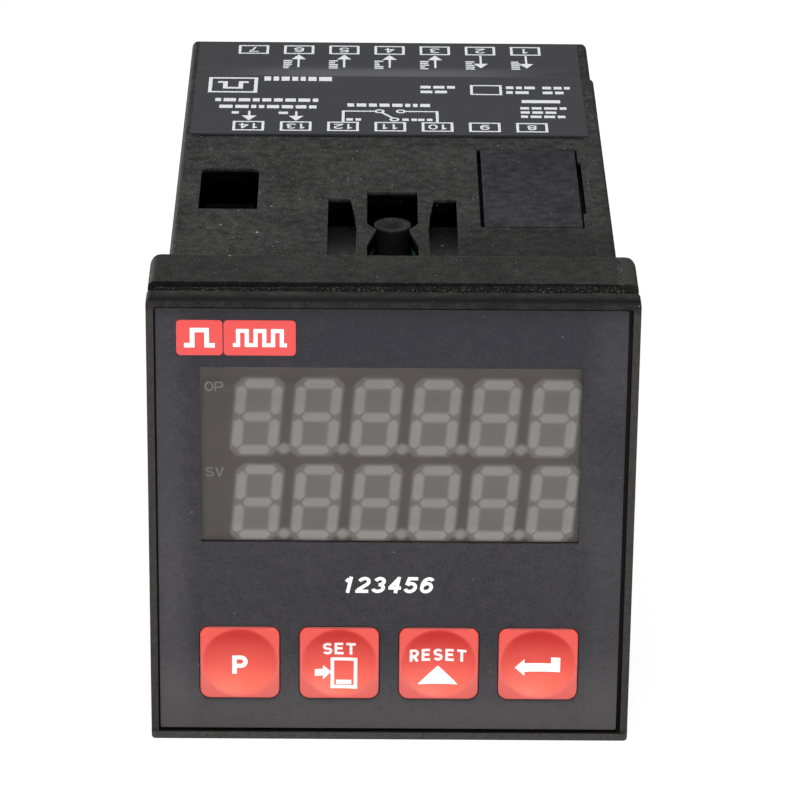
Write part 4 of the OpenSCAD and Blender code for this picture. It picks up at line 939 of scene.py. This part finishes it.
def row_of(name, finish):
    """Geometry Nodes: copies of one piece in a row along X, made one plain mesh."""
    tree = bpy.data.node_groups.new(name, "GeometryNodeTree")
    sockets = {}
    for title, kind in (("Geometry", "Geometry"), ("Count", "Int"), ("Step", "Vector"), ("Start", "Vector"),
                        ("Turn", "Float")):
        made = tree.interface.new_socket(title, in_out="INPUT", socket_type="NodeSocket" + kind)
        sockets[title] = made.identifier
    tree.interface.new_socket("Geometry", in_out="OUTPUT", socket_type="NodeSocketGeometry")
    nodes, links = tree.nodes, tree.links
    given, made = nodes.new("NodeGroupInput"), nodes.new("NodeGroupOutput")
    line = nodes.new("GeometryNodeMeshLine")
    copies = nodes.new("GeometryNodeInstanceOnPoints")
    chance = nodes.new("FunctionNodeRandomValue")
    chance.data_type = "FLOAT"
    chance.inputs["Seed"].default_value = 4
    spin = nodes.new("ShaderNodeCombineXYZ")
    real = nodes.new("GeometryNodeRealizeInstances")
    skinned = nodes.new("GeometryNodeSetMaterial")
    skinned.inputs["Material"].default_value = finish.material
    links.new(given.outputs["Count"], line.inputs["Count"])
    links.new(given.outputs["Start"], line.inputs["Start Location"])
    links.new(given.outputs["Step"], line.inputs["Offset"])
    links.new(line.outputs["Mesh"], copies.inputs["Points"])
    links.new(given.outputs["Geometry"], copies.inputs["Instance"])
    links.new(given.outputs["Turn"], chance.inputs[3])
    links.new(chance.outputs[1], spin.inputs["Y"])
    links.new(spin.outputs[0], copies.inputs["Rotation"])
    links.new(copies.outputs["Instances"], real.inputs["Geometry"])
    links.new(real.outputs["Geometry"], skinned.inputs["Geometry"])
    links.new(skinned.outputs["Geometry"], made.inputs[0])
    return tree, sockets


def spread(source, name, finish, count, step, start, turn=0.0):
    """Runs the row tree on a piece and leaves a plain mesh of its copies."""
    tree, sockets = row_of(name + "_row", finish)
    maker = source.modifiers.new("row", "NODES")
    maker.node_group = tree
    maker[sockets["Count"]] = count
    maker[sockets["Step"]] = [c * mm for c in step]
    maker[sockets["Start"]] = [c * mm for c in start]
    maker[sockets["Turn"]] = turn
    bpy.context.view_layer.update()
    depsgraph = bpy.context.evaluated_depsgraph_get()
    mesh = bpy.data.meshes.new_from_object(source.evaluated_get(depsgraph))
    mesh.name = name
    bpy.data.objects.remove(source)
    return link(name, mesh)


def merge(name, pieces):
    """Joins plain meshes into one object at the origin."""
    work = bmesh.new()
    for piece in pieces:
        work.from_mesh(piece.data)
    mesh = bpy.data.meshes.new(name)
    work.to_mesh(mesh)
    work.free()
    for material in pieces[0].data.materials:
        mesh.materials.append(material)
    for piece in pieces:
        bpy.data.objects.remove(piece)
    return link(name, mesh)


label_print = Finish("label_print_white", (0.38, 0.405, 0.42), 0.45)
screen = label_print.grain(6.0, 3.0)
x, y, z = label_print.axes()
whiter = label_print.mix(screen, (0.37, 0.385, 0.395), (0.46, 0.475, 0.485))
label_print.paint(color=label_print.mix(y.rise(50, 60), whiter, (0.42, 0.435, 0.46)), height=screen, depth=0.003)
box_w, box_h, line_w = 3.4, 2.8, 0.29
print_z = label_top - 0.07 + 0.012


def box_outline():
    w, h = (box_w - line_w) / 2, (box_h - line_w) / 2
    mesh = bpy.data.meshes.new("terminal_box")
    work = ribbon([(-w, -h), (w, -h), (w, h), (-w, h)], line_w, closed=True)
    work.to_mesh(mesh)
    work.free()
    mesh.transform(Matrix.Scale(mm, 4))
    return link("terminal_box", mesh)


first_x = terminals_x - (terminals - 1) / 2 * terminal_step
along_row = (terminal_step, 0, 0)
box_rows = [spread(box_outline(), "boxes", label_print, terminals, along_row, (first_x, y, 0))
            for y in (rear_row_y, front_row_y)]
flat_print = bmesh.new()
upward = Vector((0, 0, 1))
for piece in box_rows:
    copy = bmesh.new()
    copy.from_mesh(piece.data)
    lay(flat_print, copy, lambda u, v: Vector((u, v, 0)) / mm, upward)
    bpy.data.objects.remove(piece)


def turned(cx, cy):
    """Lettering on the label stands the other way round, for someone behind the panel."""
    return lambda u, v: Vector((cx - u, cy - v, 0))


def upright(cx, cy):
    return lambda u, v: Vector((cx + u, cy + v, 0))


def arrow(length, toward):
    head = [(-0.8, length - 1.5), (0.8, length - 1.5), (0, length)]
    made = gather((ribbon([(0, 0), (0, length - 1.5)], 0.24), 0, 0), (filled(head), 0, 0))
    for v in made.verts:
        v.co.y *= toward
    return made


def print_on_label(drawing, place):
    lay(flat_print, drawing, place, upward)


terminal_x = [first_x + i * terminal_step for i in range(terminals)]
for i, x in enumerate(terminal_x):
    print_on_label(words(str(terminals - i), 1.5, line=0.15), turned(x, rear_row_y))
    print_on_label(words(str(2 * terminals - i), 1.5, line=0.15, wide=0.68, gap=0.14), turned(x, front_row_y))
for i in range(1, 5):
    print_on_label(arrow(4.1, 1), upright(terminal_x[i], rear_row_y - box_h / 2 - 4.3))
for i in range(5, 7):
    print_on_label(arrow(4.1, -1), upright(terminal_x[i], rear_row_y - box_h / 2 - 0.2))
for i in range(0, 2):
    print_on_label(arrow(2.9, -1), upright(terminal_x[i], front_row_y + box_h / 2 + 3.1))

contact_y = front_row_y + box_h / 2
middle_x = terminal_x[3]


def ring(x, y):
    print_on_label(ribbon(bow(0, 0, 0.42, 0.42, 0, 345, 23), 0.26, closed=True), upright(x, y))


for s in (-1, 1):
    ring(middle_x + 1.15 * s, contact_y + 3.3)
    wire = [(terminal_x[3 + s], contact_y + 0.05), (terminal_x[3 + s], contact_y + 3.3),
            (middle_x + 1.7 * s, contact_y + 3.3)]
    print_on_label(ribbon(wire, 0.3), upright(0, 0))
ring(middle_x + 0.45, contact_y + 0.8)
print_on_label(ribbon([(middle_x + 0.25, contact_y + 1.3), (middle_x - 0.9, contact_y + 2.9)], 0.3), upright(0, 0))


def dashes(x0, x1, y, height, seed):
    """A line of plain short bars."""
    spread_out = random.Random(seed)
    x = x0
    while x < x1 - 0.4:
        wide = min(spread_out.uniform(0.5, 1.5), x1 - x)
        print_on_label(ribbon([(x, y), (x + wide, y)], height), upright(0, 0))
        x += wide + 0.28


offset_y = front_y - 0.56
for x0, x1, y, height, seed in ((-19.2, -7.6, 60.2, 1.0, 1), (-18.7, -7.9, 58.1, 0.95, 2), (-4.8, 4.2, 58.8, 0.95, 3),
                                (-14.0, -5.9, 67.0, 1.3, 4), (3.2, 7.0, 64.6, 0.8, 5), (3.2, 6.4, 63.1, 0.8, 6),
                                (12.6, 15.8, 64.6, 0.8, 7), (12.6, 15.2, 63.1, 0.8, 8), (16.6, 19.8, 64.6, 0.8, 9),
                                (16.6, 19.3, 63.1, 0.8, 10), (14.0, 19.0, 58.2, 0.7, 11), (14.0, 18.4, 56.9, 0.7, 12),
                                (14.0, 18.8, 55.6, 0.7, 13)):
    dashes(x0, x1, y + offset_y, height, seed)
for i in range(1, 7):
    for k in range(5):
        dashes(terminal_x[i] - 1.7, terminal_x[i] - 0.7, rear_row_y - box_h / 2 - 2.2 - 0.6 * k, 0.36, 10 * i + k)
for i in range(0, 2):
    dashes(terminal_x[i] - 1.9, terminal_x[i] - 0.75, front_row_y + box_h / 2 + 2.6, 0.7, 80 + i)
for x0 in (terminal_x[2] + 0.35, terminal_x[3] + 1.3, terminal_x[4] - 2.1):
    dashes(x0, x0 + 1.6, contact_y + 0.75, 0.7, 90)
print_on_label(ribbon([(14.2, 60.3 + offset_y), (18.4, 60.3 + offset_y)], 0.9), upright(0, 0))
empty_box = [(8.8, 62.4), (12.0, 62.4), (12.0, 65.2), (8.8, 65.2)]
print_on_label(ribbon(empty_box, 0.3, closed=True), upright(0, offset_y))
frame_x, frame_y = terminal_x[0] - 2.0, 64.9 + offset_y
pulse_frame = [(-2.5, -2.2), (2.5, -2.2), (2.5, 2.2), (-2.5, 2.2)]
print_on_label(ribbon(pulse_frame, 0.4, closed=True), upright(frame_x, frame_y))
pulse = [(-1.7, -0.9), (-0.85, -0.9), (-0.85, 0.9), (0.85, 0.9), (0.85, -0.9), (1.7, -0.9)]
print_on_label(ribbon(pulse, 0.5), turned(frame_x, frame_y))

bmesh.ops.triangulate(flat_print, faces=flat_print.faces)
for step in range(24):
    y = joint_y - 1 + step * 0.25
    geometry = flat_print.verts[:] + flat_print.edges[:] + flat_print.faces[:]
    bmesh.ops.bisect_plane(flat_print, geom=geometry, plane_co=(0, y, 0), plane_no=(0, 1, 0))
for v in flat_print.verts:
    v.co.z += print_z + label_rise(v.co.x, v.co.y)
label_marks = printed("label_marks", flat_print, label_print, upward, 0.01)
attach(label_marks, "housing")
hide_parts("label_print")

# The terminals: plated screws with a cross recess, pressed steel clamps, and flat tails that run forward
# to the boards. The screws are driven in by hand, so their recesses stand at odd angles.
plated = Finish("plated_steel", (0.62, 0.62, 0.60), 0.3, Metallic=1.0)
wear = plated.grain(2.0, 4.0)
plated.paint(color=plated.mix(wear, (0.55, 0.55, 0.53), (0.68, 0.68, 0.66)), roughness=0.22 + wear * 0.22,
             height=wear, depth=0.01, edge=0.08)
screws_low, screws_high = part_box("terminal_screws")
screw_end, head_end = screws_low[1] / mm, screws_high[1] / mm
head_half, shank_half, head_deep = 1.8, 1.25, 1.6


def screw():
    """One screw on the Y axis, head towards the rear, with a cross recess."""
    work = bmesh.new()
    count = 32
    head_start = head_end - head_deep
    outline = [(0.6, screw_end), (shank_half - 0.25, screw_end), (shank_half, screw_end + 0.3)]
    y = screw_end + 0.4
    while y < head_start - 0.6:
        outline += [(shank_half, y), (shank_half - 0.14, y + 0.11), (shank_half, y + 0.22)]
        y += 0.4
    outline += [(shank_half, head_start), (head_half - 0.12, head_start), (head_half, head_start + 0.12),
                (head_half, head_end - 0.45), (head_half - 0.1, head_end - 0.22), (head_half - 0.4, head_end - 0.04)]
    rings = [[work.verts.new((r * math.cos(2 * math.pi * k / count), y, r * math.sin(2 * math.pi * k / count)))
              for k in range(count)] for r, y in outline]
    for a, b in zip(rings, rings[1:]):
        for k in range(count):
            j = (k + 1) % count
            work.faces.new((a[k], a[j], b[j], b[k]))
    work.faces.new(rings[0])
    deep, half, arm = head_end - 0.8, 0.3, 1.25
    top = [(-arm, -half), (-half, -half), (-half, -arm), (half, -arm), (half, -half), (arm, -half),
           (arm, half), (half, half), (half, arm), (-half, arm), (-half, half), (-arm, half)]
    lip = [work.verts.new((x, head_end, z)) for x, z in top]
    floor_ring = [work.verts.new((x * 0.8, deep, z * 0.8)) for x, z in top]
    for k in range(12):
        j = (k + 1) % 12
        work.faces.new((lip[k], lip[j], floor_ring[j], floor_ring[k]))
    work.faces.new(floor_ring)
    edges = [work.edges.get((lip[k], lip[(k + 1) % 12])) for k in range(12)]
    edges += [work.edges.get((rings[-1][k], rings[-1][(k + 1) % count])) for k in range(count)]
    bmesh.ops.triangle_fill(work, edges=edges, use_beauty=True)
    return from_bmesh("screw", work, 40)


screw_z = (screws_high[2] / mm) - head_half
screw_rows = [spread(screw(), "screws", plated, terminals, along_row, (first_x, 0, z), turn=3.1)
              for z in (screw_z, -screw_z)]
screws = merge("screws", screw_rows)
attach(screws, "housing")
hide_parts("terminal_screws")
dress("terminal_clamps", plated)
dress("terminal_tails", plated)

# The boards: glass-fibre laminate with a green mask, carrying black packages and the black service
# socket, the plated crystal can, the blue varistor, the tan inrush resistor and the sleeved capacitor.
board_finish = Finish("board_green", (0.003, 0.018, 0.007), 0.4)
x, y, z = board_finish.axes()
tracks = abs((x + board_finish.grain(0.3) * 6).fold(1.6)).rise(0.35, 0.25)
tracks = tracks.most(abs(y.fold(3.1)).rise(0.3, 0.2) * 0.6)
mask = board_finish.mix(tracks, (0.002, 0.012, 0.005), (0.005, 0.030, 0.012))
in_shade = abs(x).rise(6, 5) * y.rise(17, 14)
board_finish.paint(color=board_finish.mix(in_shade, mask, (0.001, 0.0012, 0.001)), height=tracks, depth=0.03)
for node in ("display_board", "upper_board", "lower_board"):
    dress(node, board_finish)
# The service socket is black plastic, painted darker still and without reflection as shade at the bottom of the port.
socket_shade_tones = (0.001, 0.001, 0.001), (0.002, 0.002, 0.002)
dress("service_socket", mottled("socket_plastic_painted_shade", (0.0015, 0.0015, 0.0015), 0.8, socket_shade_tones, 3.0, 0.01,
                                Specular_IOR_Level=0.0))
for node in ("upper_header", "lower_header", "jumper_block", "relay", "rectifier",
             "microcontroller", "driver_chip", "memory_chip", "opto_couplers"):
    dress(node, component_finish)
dress("crystal", plated)
sleeve_finish = Finish("capacitor_sleeve", (0.02, 0.02, 0.035), 0.25, Coat_Weight=0.3)
x, y, z = sleeve_finish.axes()
stripe = abs(x + 1.5).rise(1.2, 1.1) * (y - 10).rise(0.1, 0)
sleeve_finish.paint(color=sleeve_finish.mix(stripe, (0.02, 0.02, 0.035), (0.5, 0.5, 0.5)),
                    height=sleeve_finish.grain(2.0), depth=0.01)
dress("smoothing_capacitor", sleeve_finish)
blue_tones = (0.02, 0.06, 0.33), (0.03, 0.09, 0.46)
dress("varistor", mottled("varistor_coat", (0.025, 0.075, 0.40), 0.35, blue_tones, 1.5, 0.06))
resistor_finish = Finish("resistor_coat", (0.55, 0.40, 0.22), 0.45)
x, y, z = resistor_finish.axes()
bands = abs((x + 13).fold(2.0)).rise(0.45, 0.35)
resistor_finish.paint(color=resistor_finish.mix(bands, (0.55, 0.40, 0.22), (0.18, 0.05, 0.02)),
                      height=resistor_finish.grain(2.0), depth=0.02)
dress("inrush_resistor", resistor_finish)

# The mains transformer: a stack of varnished steel sheets around a coil wound with yellow tape.
core_finish = Finish("core_steel", (0.10, 0.10, 0.105), 0.45, Metallic=0.6)
x, y, z = core_finish.axes()
sheets = abs(y.fold(0.5)).rise(0.2, 0.24)
core_finish.paint(color=core_finish.mix(sheets, (0.05, 0.05, 0.052), (0.14, 0.14, 0.145)),
                  height=sheets, depth=0.05)
dress("transformer_core", core_finish)
tape_finish = Finish("coil_tape", (0.62, 0.36, 0.03), 0.35)
x, y, z = tape_finish.axes()
laps = abs((y + tape_finish.grain(0.4) * 1.5).fold(4.0)).rise(1.85, 2.0)
tape_finish.paint(color=tape_finish.mix(laps, (0.64, 0.38, 0.035), (0.35, 0.19, 0.015)),
                  height=laps, depth=0.05)
dress("transformer_coil", tape_finish)
